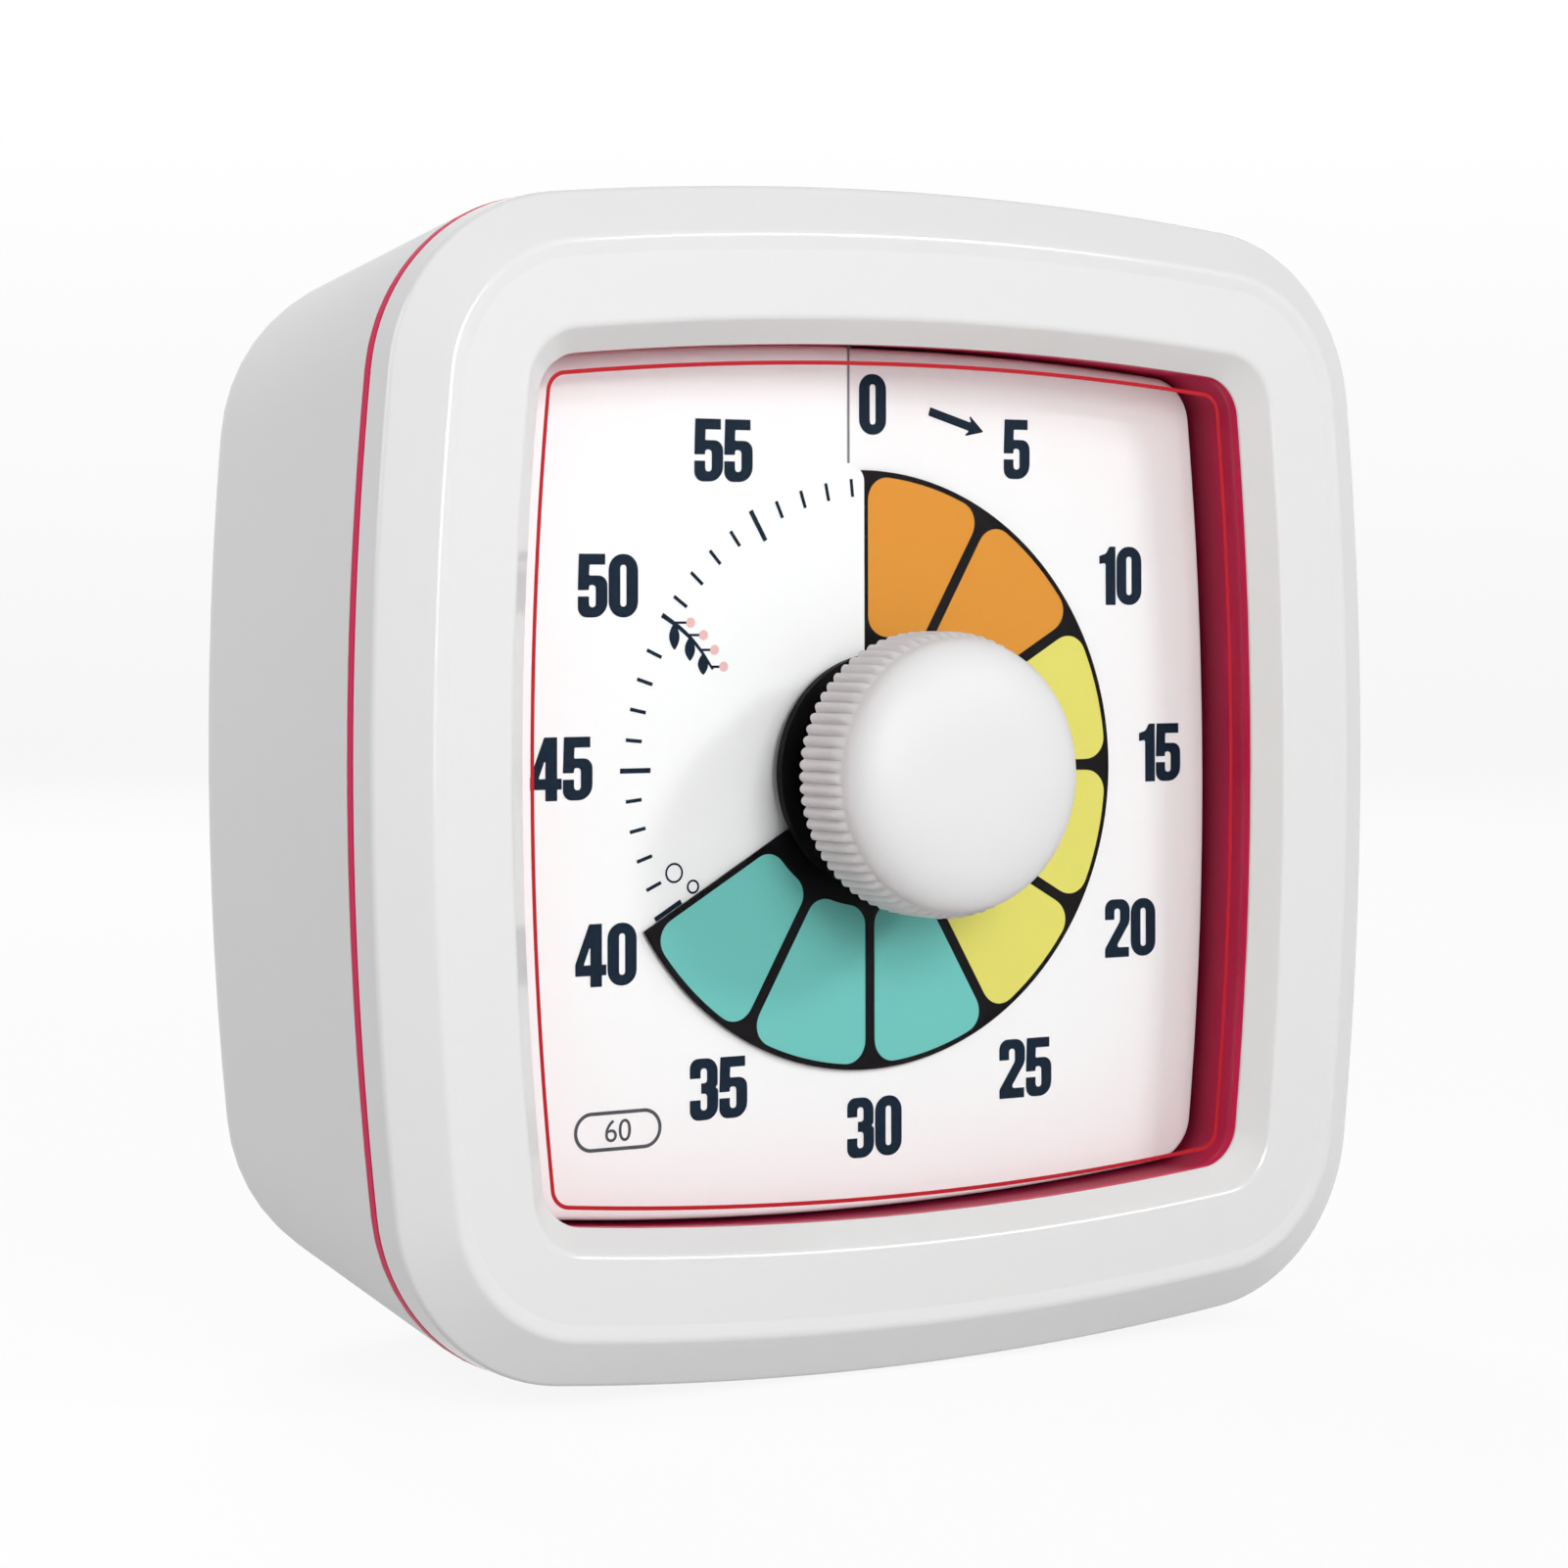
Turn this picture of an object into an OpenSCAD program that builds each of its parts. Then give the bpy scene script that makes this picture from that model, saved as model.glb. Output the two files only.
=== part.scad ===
// Visual countdown timer: a puffed square housing with a keyed knob, a
// helicoid dial plate and a coloured disc that winds out through its slit.
// Units are millimetres. X is the timer's right seen from the front, Y goes
// into the body and Z is up. Depths are counted back from the bezel's ridge.

/* [Housing] */
// Width and height of the face at its widest
face_w = 98; // [90:0.5:110]
// Depth from the bezel's ridge to the flat back
body_depth = 46; // [44:0.5:56]
// Radius of the arc that each side bulges with
side_r = 310; // [250:5:500]
// Corner radius of the housing
corner_r = 16; // [13:0.5:20]
// Wall thickness of the two shells
wall = 2; // [1.6:0.1:2.4]
// How much each side draws in from the seam to the back
rear_taper = 3.5; // [1:0.1:4.5]
// Rounding of the back edge
rear_fillet = 4; // [2.5:0.1:5]
// Depth of the crimson seam
seam_depth = 6.6; // [6:0.1:8]
// Thickness of the crimson flange at the seam
seam_t = 0.7; // [0.5:0.1:1.2]

/* [Bezel] */
// Width of the sloping band outside the ridge
bevel_w = 4.3; // [3:0.1:6]
// Drop of that band from the ridge
bevel_drop = 2.5; // [1.5:0.1:3.2]
// Width of the flat face from the ridge to the window
bezel_w = 6.5; // [5:0.1:8]
// Width of the slope round the window
slope_w = 2; // [1.5:0.1:3]
// Depth of the slope's inner edge
slope_depth = 2.6; // [2.2:0.1:3]

/* [Window] */
// Wall of the crimson tube behind the window
tube_wall = 1.4; // [1.2:0.1:1.8]
// Width of the lip that the lens rests on
lens_lip = 0.6; // [0.4:0.05:0.8]
// Depth of the lens's front face
lens_depth = 3.5; // [3.3:0.1:4]
// Thickness of the clear lens
lens_t = 1.2; // [0.8:0.1:1.4]

/* [Dial] */
// Height of the dial's axis above the face's centre
dial_lift = 0.8; // [0:0.1:2]
// Depth of the dial plate's face at 30 minutes
plate_depth = 9.2; // [9:0.1:11]
// Thickness of the dial plate
plate_t = 0.8; // [0.6:0.05:0.9]
// Rise of the dial plate in one turn, which is also the disc's pitch
pitch = 1.8; // [1.6:0.05:2.2]
// Radius of the hole in the dial plate
plate_hole_r = 8.5; // [8:0.1:9]
// Outer radius of the coloured disc
disc_r = 25.4; // [22:0.1:27]
// Thickness of the coloured disc
disc_t = 0.3; // [0.2:0.05:0.4]
// Offset of the moulded step to the left of 0 minutes
step_x = 2; // [1.5:0.1:3]
// Minutes that are set in the stored pose
minutes_set = 40; // [5:5:55]

/* [Knob] */
// Radius of the knob over its ribs
knob_r = 11.8; // [11:0.1:13]
// Number of ribs round the knob
rib_count = 64; // [48:4:80]
// Height of the ribs
rib_h = 0.45; // [0.3:0.05:0.6]
// Length of the ribbed flank
flank_h = 6; // [5:0.1:8]
// Height of the domed front
dome_h = 3.6; // [2.5:0.1:5]
// Gap from the lens to the knob's back rim
knob_gap = 2.6; // [2:0.1:3]
// Radius of the shaft
shaft_r = 3; // [2.5:0.1:3.2]
// Radius of the black hub's flange
hub_r = 9.9; // [9.4:0.1:10.4]

/* [Movement] */
// Width of the movement's case
move_w = 55; // [54:0.5:56]
// Height of the movement's case
move_h = 36; // [34:0.5:38]
// Thickness of the movement's case
move_t = 13; // [12.5:0.1:13.2]
// Depth of the movement's front face
move_depth = 14; // [13.8:0.1:14.2]

/* [Power] */
// Radius of the AA cell
cell_r = 7.25; // [7.1:0.05:7.25]
// Length of the AA cell without its nub
cell_len = 49.2; // [48.5:0.1:49.3]
// Distance of the cell's axis below the face's centre
cell_drop = 25; // [24.6:0.1:25.6]
// Thickness of the battery door
door_t = 1.8; // [1.4:0.1:2]
// Travel of the sound switch each way
switch_travel = 2; // [1:0.1:2.2]

/* [Feet] */
// Radius of the rubber feet
foot_r = 4; // [3:0.1:5]
// How far the feet stand below the bezel
foot_drop = 0.3; // [0.2:0.05:0.6]

/* [Hidden] */

// Finish of the round faces and of the lofted outlines
$fn = 64;
side_steps = 12;
corner_steps = 10;
outline_steps = 4 * (side_steps + corner_steps);
turn_steps = 72;

// Clearances: a running fit, a key, a screw in its pilot bore, a loose seat
// and a visible gap
run_fit = 0.05;
key_fit = 0.05;
thread_fit = 0.02;
seat_fit = 0.1;
gap = 0.3;

// How far joined shapes run into each other, and cuts run past a face
lap = 0.5;
past = 1;

// Where the frame's origin lies: under the middle of the whole length
face_half = face_w / 2;
mid_z = face_half + foot_drop;
dial_z = mid_z + dial_lift;
knob_back = lens_depth - knob_gap;
knob_front = knob_back - flank_h - dome_h;
ridge_y = -(body_depth + knob_front) / 2;

// Half sizes of the face's outlines, from the outside in
ridge_half = face_half - bevel_w;
window_half = ridge_half - bezel_w;
slope_half = window_half - slope_w;
pocket_half = slope_half + lens_lip;
tube_half = slope_half + tube_wall;
lens_half = pocket_half - run_fit;
plate_half = pocket_half - gap;
inner_half = face_half - wall;
ridge_corner = corner_r - bevel_w;
window_corner = 5;
slope_corner = window_corner - 1.2;
pocket_corner = slope_corner + lens_lip;
lens_corner = pocket_corner - run_fit;
plate_corner = pocket_corner - gap;
tube_corner = slope_corner + tube_wall;
frame_root = wall + 0.1;

// Rear shell
shell_front = seam_depth + seam_t;
fillet_depth = body_depth - rear_fillet;
rear_half = face_half - rear_taper;
rear_inner = body_depth - wall;
pillar_r = 3.2;
pillar_z = 28;
pillar_front = 16;
screw_r = 1.3;
screw_hole_r = screw_r + seat_fit;
head_r = 2.3;
head_seat = body_depth - 9;

// Bezel pegs, dial plate bosses and tube
peg_r = 1.5;
peg_at = inner_half - 9;
tube_back = 12;
ear_x = tube_half + 3.4;
ear_z = 12;
ear_r = 2.4;
ear_t = 1.4;
skirt_t = 1.2;
plate_boss_r = 2.2;
pin_r = 0.9;

// Hub and disc: the disc keeps half a pitch from the plate all round
slit_r = disc_r + gap;
plate_low = plate_depth + pitch / 2;
disc_lead = plate_t / 2 - disc_t / 2 - pitch / 2;
disc_front_min = plate_depth - pitch / 2 + disc_lead;
flange_t = 0.8;
flange_front = disc_front_min - gap / 1.2 - flange_t;
sleeve_r = 6;
sleeve_flat = 5.4;
sleeve_back = move_depth - gap;
collar_r = sleeve_r + 1.2;
collar_len = 2.4;
boss_r = 5;
shaft_flat = shaft_r - 0.6;

// Movement
case_wall = 1.2;
move_back = move_depth + move_t;
case_split = move_depth + 6;
post_x = move_w / 2 - 3;
post_z = move_h / 2 - 3;
post_r = 2.6;
output_teeth = 48;
middle_teeth = 40;
output_module = 0.5;
middle_module = 0.4;
middle_pinion = 12;
rotor_pinion = 10;
output_r = output_teeth * output_module / 2;
middle_r = middle_teeth * middle_module / 2;
middle_x = output_r + middle_pinion * output_module / 2;
rotor_turn = 100;
rotor_reach = middle_r + rotor_pinion * middle_module / 2;
rotor_x = middle_x + rotor_reach * cos(rotor_turn);
rotor_z = rotor_reach * sin(rotor_turn);
arbor_r = 0.6;
output_depth = move_depth + 2;
output_t = 2;
hub_end = output_depth + 4.4;
spring_t = 0.7;
spring_sheet = 0.35;
spring_r = 5;
clutch_r = 4.6;
clutch_len = 2;
middle_depth = output_depth + output_t + 0.8;
middle_t = 1.6;
pinion_over = 0.3;
magnet_r = 3;
magnet_len = 2.6;
core_left = -15;
core_right = 4;
core_low = 8;
core_high = 12;
core_t = 1.4;
winding_r = 2.4;
winding_len = 14;

// Battery bay, door, board and switch
cell_nub = 1.3;
cell_nub_r = 2.7;
contact_t = 0.5;
contact_half = 5;
contact_inset = 2;
contact_dimple = 0.1;
spring_len = 4.4;
spring_wire = 0.35;
spring_turns = 2.5;
spring_wide = 4.4;
spring_narrow = 2.6;
spring_steps = 60;
bay_half = contact_t + (cell_len + cell_nub + spring_len + contact_dimple) / 2;
bay_wall = 1.2;
pillar_x = bay_half + bay_wall + pillar_r + 2 * gap;
bay_side = cell_r + 0.35;
bay_floor = rear_inner - 2 * cell_r - 0.9;
cell_depth = rear_inner - cell_r - 0.75;
cell_z = mid_z - cell_drop;
cell_start = spring_len + contact_t - bay_half;
door_seat = 0.2;
door_half = bay_half + bay_wall + door_seat;
door_top = cell_z + bay_side + 1.1;
door_foot = cell_z - bay_side - 5;
door_gap = 0.25;
door_rim = 0.6;
tongue_x = 18;
tongue_w = 6;
tongue_in = 2 * wall;
tongue_out = tongue_in + 1.2;
tongue_start = asin((door_t - door_seat) / tongue_out);
tongue_end = 180 - asin((wall + door_seat) / tongue_in);
ledge_depth = body_depth - door_t;
grip_half = 7;
grip_pitch = 1.6;
board_x = 12;
board_w = 34;
board_h = 18;
board_t = 1.2;
board_pin_x = board_w / 2 - 3;
board_pin_z = 5;
chip_w = 6;
chip_h = 6;
chip_t = 1.6;
chip_x = board_x - 5;
board_z = mid_z + 26;
board_depth = 38;
switch_x = 20;
switch_w = 9;
switch_h = 4;
switch_t = 3.4;
stem_w = 1.6;
stem_h = 2;
pad_half = 2.4;
pad_t = 0.6;
pad_drop = 0.5;
sounder_x = -18;
sounder_r = 10;
sounder_t = 4;
sounder_rim = 3;
grille_r = 0.7;
grille_pitch = 2.6;

// Feet stand on the tapered underside
foot_x = 24;
foot_depths = [16, 38];

// Moves its children back to a depth on the middle of the face
module at(x, depth, z) translate([x, ridge_y + depth, z]) children();

// Extrudes a drawing of the face, X across and Z up, from one depth back
module slab(depth, t, z = mid_z)
    at(0, depth + t, z) rotate([90, 0, 0]) linear_extrude(t) children();

// A round bar along Y
module bar(x, z, r, front, back)
    at(x, front, z) rotate([-90, 0, 0]) cylinder(r = r, h = back - front);

// A block by its corners, with depths along Y
module block(x0, x1, front, back, z0, z1)
    at(x0, front, z0) cube([x1 - x0, back - front, z1 - z0]);

// Centre of the corner arc of a puffed square, on its diagonal
function corner_at(half, r) =
    let (m = side_r - half) (sqrt(2 * pow(side_r - r, 2) - m * m) - m) / 2;

// One side of the puffed square and the corner after it
function quarter(half, r) =
    let (m = side_r - half, c = corner_at(half, r), lim = atan2(c, c + m))
    concat(
        [for (i = [0 : side_steps - 1]) let (t = lim * (2 * i / side_steps - 1))
            [side_r * sin(t), side_r * cos(t) - m]],
        [for (i = [0 : corner_steps - 1])
            let (t = lim + (90 - 2 * lim) * i / corner_steps)
            [c + r * sin(t), c + r * cos(t)]]);

// A point turned clockwise by quarter turns
function turned(p, q) =
    [p.x * cos(90 * q) + p.y * sin(90 * q), p.y * cos(90 * q) - p.x * sin(90 * q)];

// The whole outline, clockwise from the upper left
function puffed(half, r) =
    [for (q = [0 : 3]) for (p = quarter(half, r)) turned(p, q)];

module puff(half, r) polygon(puffed(half, r));

// The outline as a ring in space: [half size, corner radius, depth]
function ring(s) =
    [for (p = puffed(s[0], s[1])) [p.x, ridge_y + s[2], mid_z + p.y]];

// Skin over rings of equal length, closed on itself or capped at both ends
module loft(rings, closed = false) {
    n = len(rings[0]);
    m = len(rings);
    last = closed ? m - 1 : m - 2;
    sides = [for (i = [0 : last]) for (j = [0 : n - 1])
        let (a = i * n + j, b = i * n + (j + 1) % n,
            c = ((i + 1) % m) * n + (j + 1) % n, d = ((i + 1) % m) * n + j)
        each [[a, b, c], [a, c, d]]];
    caps = closed ? [] : [[for (j = [n - 1 : -1 : 0]) j],
        [for (j = [0 : n - 1]) (m - 1) * n + j]];
    polyhedron([for (r = rings) each r], concat(sides, caps));
}

// Half size of the rear shell's outside at a depth
function shell_half(depth) =
    face_half - rear_taper * (depth - shell_front) / (fillet_depth - shell_front);

// Rounded back edge, as rings from the flat back to its start
function fillet_rings(steps) =
    [for (i = [steps : -1 : 0]) let (t = 90 * i / steps)
        [rear_half - rear_fillet * (1 - cos(t)),
            corner_r - rear_fillet * (1 - cos(t)),
            fillet_depth + rear_fillet * sin(t)]];

module shell_cup() {
    loft([for (s = concat(
        fillet_rings(4),
        [[face_half, corner_r, shell_front],
            [face_half - wall, corner_r - wall, shell_front],
            [rear_half - wall, corner_r - wall, rear_inner - 2],
            [rear_half - wall - 1, corner_r - wall - 1, rear_inner]])) ring(s)]);
}

// Battery bay with the shelf that carries the door's edge
module bay_box() {
    difference() {
        union() {
            block(-bay_half - bay_wall, bay_half + bay_wall, bay_floor - bay_wall,
                ledge_depth, cell_z - bay_side - bay_wall, cell_z + bay_side + bay_wall);
            block(-door_half - door_rim, door_half + door_rim, rear_inner - bay_wall,
                ledge_depth, door_foot - 2 * door_rim, door_top + 2 * door_rim);
        }
        block(-bay_half, bay_half, bay_floor, body_depth,
            cell_z - bay_side, cell_z + bay_side);
        for (x = [-tongue_x, tongue_x])
            at(x - tongue_w / 2 - gap, body_depth, door_foot) rotate([0, 90, 0])
                cylinder(r = tongue_out + gap, h = tongue_w + 2 * gap);
    }
}

module door_hole() {
    block(-door_half - door_gap, door_half + door_gap, rear_inner - 1, body_depth + 1,
        door_foot - door_gap, door_top + door_gap);
}

// Holes of the sounder's grille: one in the middle and two rings
module grille() {
    bar(sounder_x, board_z, grille_r, rear_inner - past, body_depth + past);
    for (row = [1, 2])
        for (i = [0 : 6 * row - 1])
            bar(sounder_x + grille_pitch * row * sin(60 * i / row),
                board_z + grille_pitch * row * cos(60 * i / row),
                grille_r, rear_inner - past, body_depth + past);
}

module rear_shell() color("gainsboro") {
    difference() {
        union() {
            difference() {
                shell_cup();
                door_hole();
            }
            bay_box();
            for (x = [-pillar_x, pillar_x], z = [-pillar_z, pillar_z])
                bar(x, mid_z + z, pillar_r, pillar_front, rear_inner + lap);
            for (x = [-board_pin_x, board_pin_x])
                bar(board_x + x, board_z - board_pin_z, pin_r + bay_wall,
                    board_depth + board_t, rear_inner + lap);
            difference() {
                bar(sounder_x, board_z, sounder_r + bay_wall, rear_inner - sounder_rim,
                    rear_inner + lap);
                bar(sounder_x, board_z, sounder_r + seat_fit, rear_inner - sounder_t,
                    rear_inner);
            }
            for (x = [-foot_x, foot_x], d = foot_depths)
                at(x, d, mid_z - shell_half(d) + 0.6) cylinder(r = foot_r + 1, h = 4);
        }
        for (x = [-pillar_x, pillar_x], z = [-pillar_z, pillar_z]) {
            bar(x, mid_z + z, screw_hole_r, pillar_front - past, body_depth + past);
            bar(x, mid_z + z, head_r + seat_fit, head_seat, body_depth + past);
        }
        for (x = [-board_pin_x, board_pin_x])
            bar(board_x + x, board_z - board_pin_z, pin_r + thread_fit,
                board_depth, rear_inner - lap);
        for (x = [-foot_x, foot_x], d = foot_depths)
            at(x, d, 0) cylinder(r = foot_r, h = mid_z - shell_half(d) + 2);
        grille();
        block(switch_x - 5.5, switch_x + 5.5, body_depth - 1.3, body_depth + 1,
            board_z - 3, board_z + 3);
        block(switch_x - switch_travel - stem_w / 2 - gap,
            switch_x + switch_travel + stem_w / 2 + gap, rear_inner - past, body_depth,
            board_z - stem_h / 2 - gap, board_z + stem_h / 2 + gap);
    }
}

module front_frame() color("whitesmoke") {
    loft([for (s = [
        [face_half, corner_r, seam_depth],
        [face_half, corner_r, bevel_drop + 0.7],
        [face_half - 0.25, corner_r - 0.25, bevel_drop - 0.3],
        [face_half - bevel_w / 2, corner_r - bevel_w / 2, bevel_drop * 0.42],
        [ridge_half, ridge_corner, 0],
        [window_half, window_corner, 0.13],
        [window_half - slope_w / 2, (window_corner + slope_corner) / 2, 1],
        [slope_half, slope_corner, slope_depth - gap],
        [slope_half, slope_corner, slope_depth],
        [window_half + 1.2, window_corner + 1.2, slope_depth],
        [window_half + 1.7, window_corner + 1.7, frame_root],
        [ridge_half - 0.5, ridge_corner - 0.5, frame_root],
        [inner_half, corner_r - wall, bevel_drop + 1.6],
        [inner_half, corner_r - wall, seam_depth]]) ring(s)], closed = true);
    for (x = [-peg_at, peg_at], z = [-peg_at, peg_at])
        bar(x, mid_z + z, peg_r, frame_root - 0.5, shell_front + 1);
}

module accent_frame() color("crimson") {
    difference() {
        union() {
            slab(seam_depth, seam_t) puff(face_half, corner_r);
            slab(slope_depth, tube_back - slope_depth) puff(tube_half, tube_corner);
            for (x = [-ear_x, ear_x], z = [-ear_z, ear_z])
                bar(x, mid_z + z, ear_r, seam_depth, tube_back);
        }
        slab(slope_depth - 1, tube_back) puff(slope_half, slope_corner);
        slab(lens_depth, tube_back) puff(pocket_half, pocket_corner);
        for (x = [-peg_at, peg_at], z = [-peg_at, peg_at])
            bar(x, mid_z + z, peg_r + run_fit, 0, shell_front + 1);
        for (x = [-ear_x, ear_x], z = [-ear_z, ear_z])
            bar(x, mid_z + z, pin_r + thread_fit, seam_depth + seam_t, tube_back + 1);
    }
}

module lens() color("azure", 0.3) {
    difference() {
        slab(lens_depth, lens_t) puff(lens_half, lens_corner);
        bar(0, dial_z, boss_r + 0.5, lens_depth - 1, lens_depth + lens_t + 1);
    }
}

// An outline from the top middle clockwise round to it again
function plate_rim(half, r) =
    let (pts = puffed(half, r))
    [for (i = [0 : outline_steps]) pts[(i + side_steps / 2) % outline_steps]];

// Clock angle of a rim point about the dial's axis
function rim_angle(p, i) =
    i == 0 ? 0 : i == outline_steps ? 360 : (360 + atan2(p.x, p.y - dial_lift)) % 360;

function polar(r, a) = [r * sin(a), r * cos(a)];

// A point of the dial in space
function on_dial(p, depth) = [p.x, ridge_y + depth, dial_z + p.y];

// One section of a sheet between two points of the dial
function sheet_section(inner, outer, front, back) =
    [on_dial(inner, front), on_dial(outer, front),
        on_dial(outer, back), on_dial(inner, back)];

// Depth of the plate's face at a clock angle
function plate_front(a) = plate_low - pitch * a / 360;

// The plate rises towards the viewer as it goes round
module helicoid_plate() {
    rim = plate_rim(plate_half, plate_corner);
    loft([for (i = [0 : outline_steps]) let (a = rim_angle(rim[i], i))
        sheet_section(polar(plate_hole_r, a), rim[i] - [0, dial_lift],
            plate_front(a), plate_front(a) + plate_t)]);
}

// Its skirt stands in the tube, with a slot behind the step
module skirt() {
    out = plate_rim(plate_half - gap / 2, plate_corner - gap / 2);
    in = plate_rim(plate_half - skirt_t, plate_corner - skirt_t);
    loft([for (i = [0 : outline_steps])
        let (a = rim_angle(out[i], i), slot = [i == outline_steps ? gap : 0, dial_lift])
        sheet_section(in[i] - slot, out[i] - slot, plate_front(a) + plate_t / 2,
            tube_back + ear_t)]);
}

// Solid boss behind the plate, which starts inside the sheet
module boss(x, z, r, back)
    bar(x, z, r, plate_front((360 + atan2(x, z - dial_z)) % 360) + plate_t / 2, back);

// Dial plate: the helicoid, with a moulded step beyond the disc's rim, ears
// on the tube's back and bosses for the screws
module dial_plate() color("white") {
    step_z = dial_z + slit_r;
    top = mid_z + plate_half - gap / 2;
    high = plate_low - pitch;
    difference() {
        union() {
            difference() {
                helicoid_plate();
                block(-step_x, 1, high - 1, high + plate_t + gap / 2, step_z, top + 1);
                block(-step_x / 5, 1, high - 1, high + plate_t + gap / 2, dial_z, step_z + 1);
            }
            skirt();
            block(-step_x, gap, plate_low, plate_low + plate_t, step_z, top);
            block(-step_x - plate_t, -step_x, high + plate_t / 2, plate_low + plate_t,
                step_z, top);
            for (x = [-1, 1], z = [-ear_z, ear_z])
                block(min(x * (plate_half - 1), x * ear_x), max(x * (plate_half - 1), x * ear_x),
                    tube_back, tube_back + ear_t, mid_z + z - ear_r, mid_z + z + ear_r);
            for (x = [-ear_x, ear_x], z = [-ear_z, ear_z])
                bar(x, mid_z + z, ear_r, tube_back, tube_back + ear_t);
            intersection() {
                slab(plate_low - pitch, pillar_front) puff(plate_half, plate_corner);
                for (x = [-pillar_x, pillar_x], z = [-pillar_z, pillar_z])
                    boss(x, mid_z + z, plate_boss_r, tube_back + lap);
            }
            for (x = [-pillar_x, pillar_x], z = [-pillar_z, pillar_z])
                bar(x, mid_z + z, plate_boss_r, tube_back, pillar_front);
            for (x = [-post_x, post_x], z = [-post_z, post_z])
                boss(x, dial_z + z, post_r, move_depth);
        }
        for (x = [-ear_x, ear_x], z = [-ear_z, ear_z])
            bar(x, mid_z + z, pin_r + seat_fit, tube_back - 1, tube_back + ear_t + 1);
        for (x = [-pillar_x, pillar_x], z = [-pillar_z, pillar_z])
            bar(x, mid_z + z, screw_r + thread_fit, tube_back, pillar_front + 1);
        for (x = [-post_x, post_x], z = [-post_z, post_z])
            bar(x, dial_z + z, pin_r + thread_fit, tube_back - gap, move_depth + 1);
    }
}

// Coloured disc: one full turn of thin sheet, cut along the leading edge
module colour_disc() color("darkorange") {
    lead = 6 * minutes_set;
    inner = collar_r - 0.4;
    loft([for (i = [0 : turn_steps])
        let (a = lead - 360 + 360 * i / turn_steps)
        sheet_section(polar(inner, a), polar(disc_r, a),
            plate_front(a) + disc_lead, plate_front(a) + disc_lead + disc_t)]);
    front = plate_front(lead) + disc_lead;
    difference() {
        bar(0, dial_z, collar_r, front, front + collar_len);
        slab(front - 1, collar_len + 2, dial_z) keyed(sleeve_r + key_fit, sleeve_flat + key_fit);
    }
}

// A circle with two flats, above and below
module keyed(r, flat) {
    intersection() {
        circle(r);
        square([3 * r, 2 * flat], center = true);
    }
}

// A circle with one flat
module dee(r, flat) {
    intersection() {
        circle(r);
        translate([-2 * r, -2 * r]) square([4 * r, 2 * r + flat]);
    }
}

module disc_hub() color("black") {
    difference() {
        union() {
            bar(0, dial_z, boss_r, knob_back + 0.4, flange_front + flange_t / 2);
            bar(0, dial_z, hub_r, flange_front, flange_front + flange_t);
            slab(flange_front + flange_t / 2, sleeve_back - flange_front - flange_t / 2, dial_z)
                keyed(sleeve_r, sleeve_flat);
        }
        slab(0, move_back, dial_z) dee(shaft_r + run_fit / 2, shaft_flat + run_fit / 2);
    }
}

// Rib profile: flat crests and rounded valleys, by one wave per rib
function rib_wave(a) = knob_r - rib_h * pow(sin(a * rib_count / 2), 2);

module knob() color("white") {
    core_r = knob_r - rib_h;
    shell = 1.8;
    steps = rib_count * 6;
    difference() {
        union() {
            slab(knob_back - flank_h, flank_h, dial_z)
                polygon([for (i = [0 : steps - 1]) polar(rib_wave(360 * i / steps),
                    360 * i / steps)]);
            at(0, knob_back - flank_h, dial_z) rotate([90, 0, 0])
                rotate_extrude() dome_profile(core_r + rib_h / 3);
        }
        difference() {
            bar(0, dial_z, core_r - shell, knob_back - flank_h, knob_back + 1);
            bar(0, dial_z, boss_r - 0.4, knob_back - flank_h - 1, knob_back + 1);
        }
        slab(knob_back - flank_h, flank_h + 1, dial_z)
            dee(shaft_r + run_fit / 2, shaft_flat + run_fit / 2);
    }
}

// Cushion-like half profile of the knob's front
module dome_profile(r) {
    steps = 16;
    polygon(concat([[0, -0.2], [r, -0.2]],
        [for (i = [0 : steps]) let (s = cos(90 * i / steps))
            [r * s, dome_h * sqrt(1 - pow(s, 3.2))]]));
}

module knob_shaft() color("silver") {
    slab(knob_back - flank_h + gap, sleeve_back - knob_back + flank_h - gap + lap, dial_z)
        dee(shaft_r, shaft_flat);
    bar(0, dial_z, shaft_r, sleeve_back, move_back + 2 * gap);
}

module clutch_spring() color("goldenrod") {
    at(0, hub_end, dial_z) rotate([-90, 0, 0]) rotate_extrude()
        polygon([[shaft_r + run_fit, spring_t - spring_sheet],
            [shaft_r + run_fit, spring_t], [spring_r, spring_sheet], [spring_r, 0]]);
}

module clutch_collar() color("silver") {
    difference() {
        bar(0, dial_z, clutch_r, hub_end + spring_t, hub_end + spring_t + clutch_len);
        bar(0, dial_z, shaft_r + thread_fit, hub_end, hub_end + spring_t + clutch_len + past);
    }
}

// Spur wheel outline: straight-flanked teeth with the first at a clock angle
module wheel_outline(teeth, size, first) {
    step = 360 / teeth;
    pr = teeth * size / 2;
    root = pr - 1.25 * size;
    tip = pr + 0.9 * size;
    polygon([for (i = [0 : teeth - 1]) let (a = first + i * step)
        each [polar(root, a - 0.34 * step), polar(tip, a - 0.13 * step),
            polar(tip, a + 0.13 * step), polar(root, a + 0.34 * step)]]);
}

module wheel(x, z, teeth, size, first, front, t)
    at(x, front + t, z) rotate([90, 0, 0]) linear_extrude(t)
        wheel_outline(teeth, size, first);

module output_wheel() color("ivory") {
    difference() {
        union() {
            wheel(0, dial_z, output_teeth, output_module, 90, output_depth, output_t);
            bar(0, dial_z, clutch_r, output_depth + lap, hub_end);
        }
        bar(0, dial_z, shaft_r + run_fit, output_depth - past, hub_end + past);
    }
}

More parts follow.
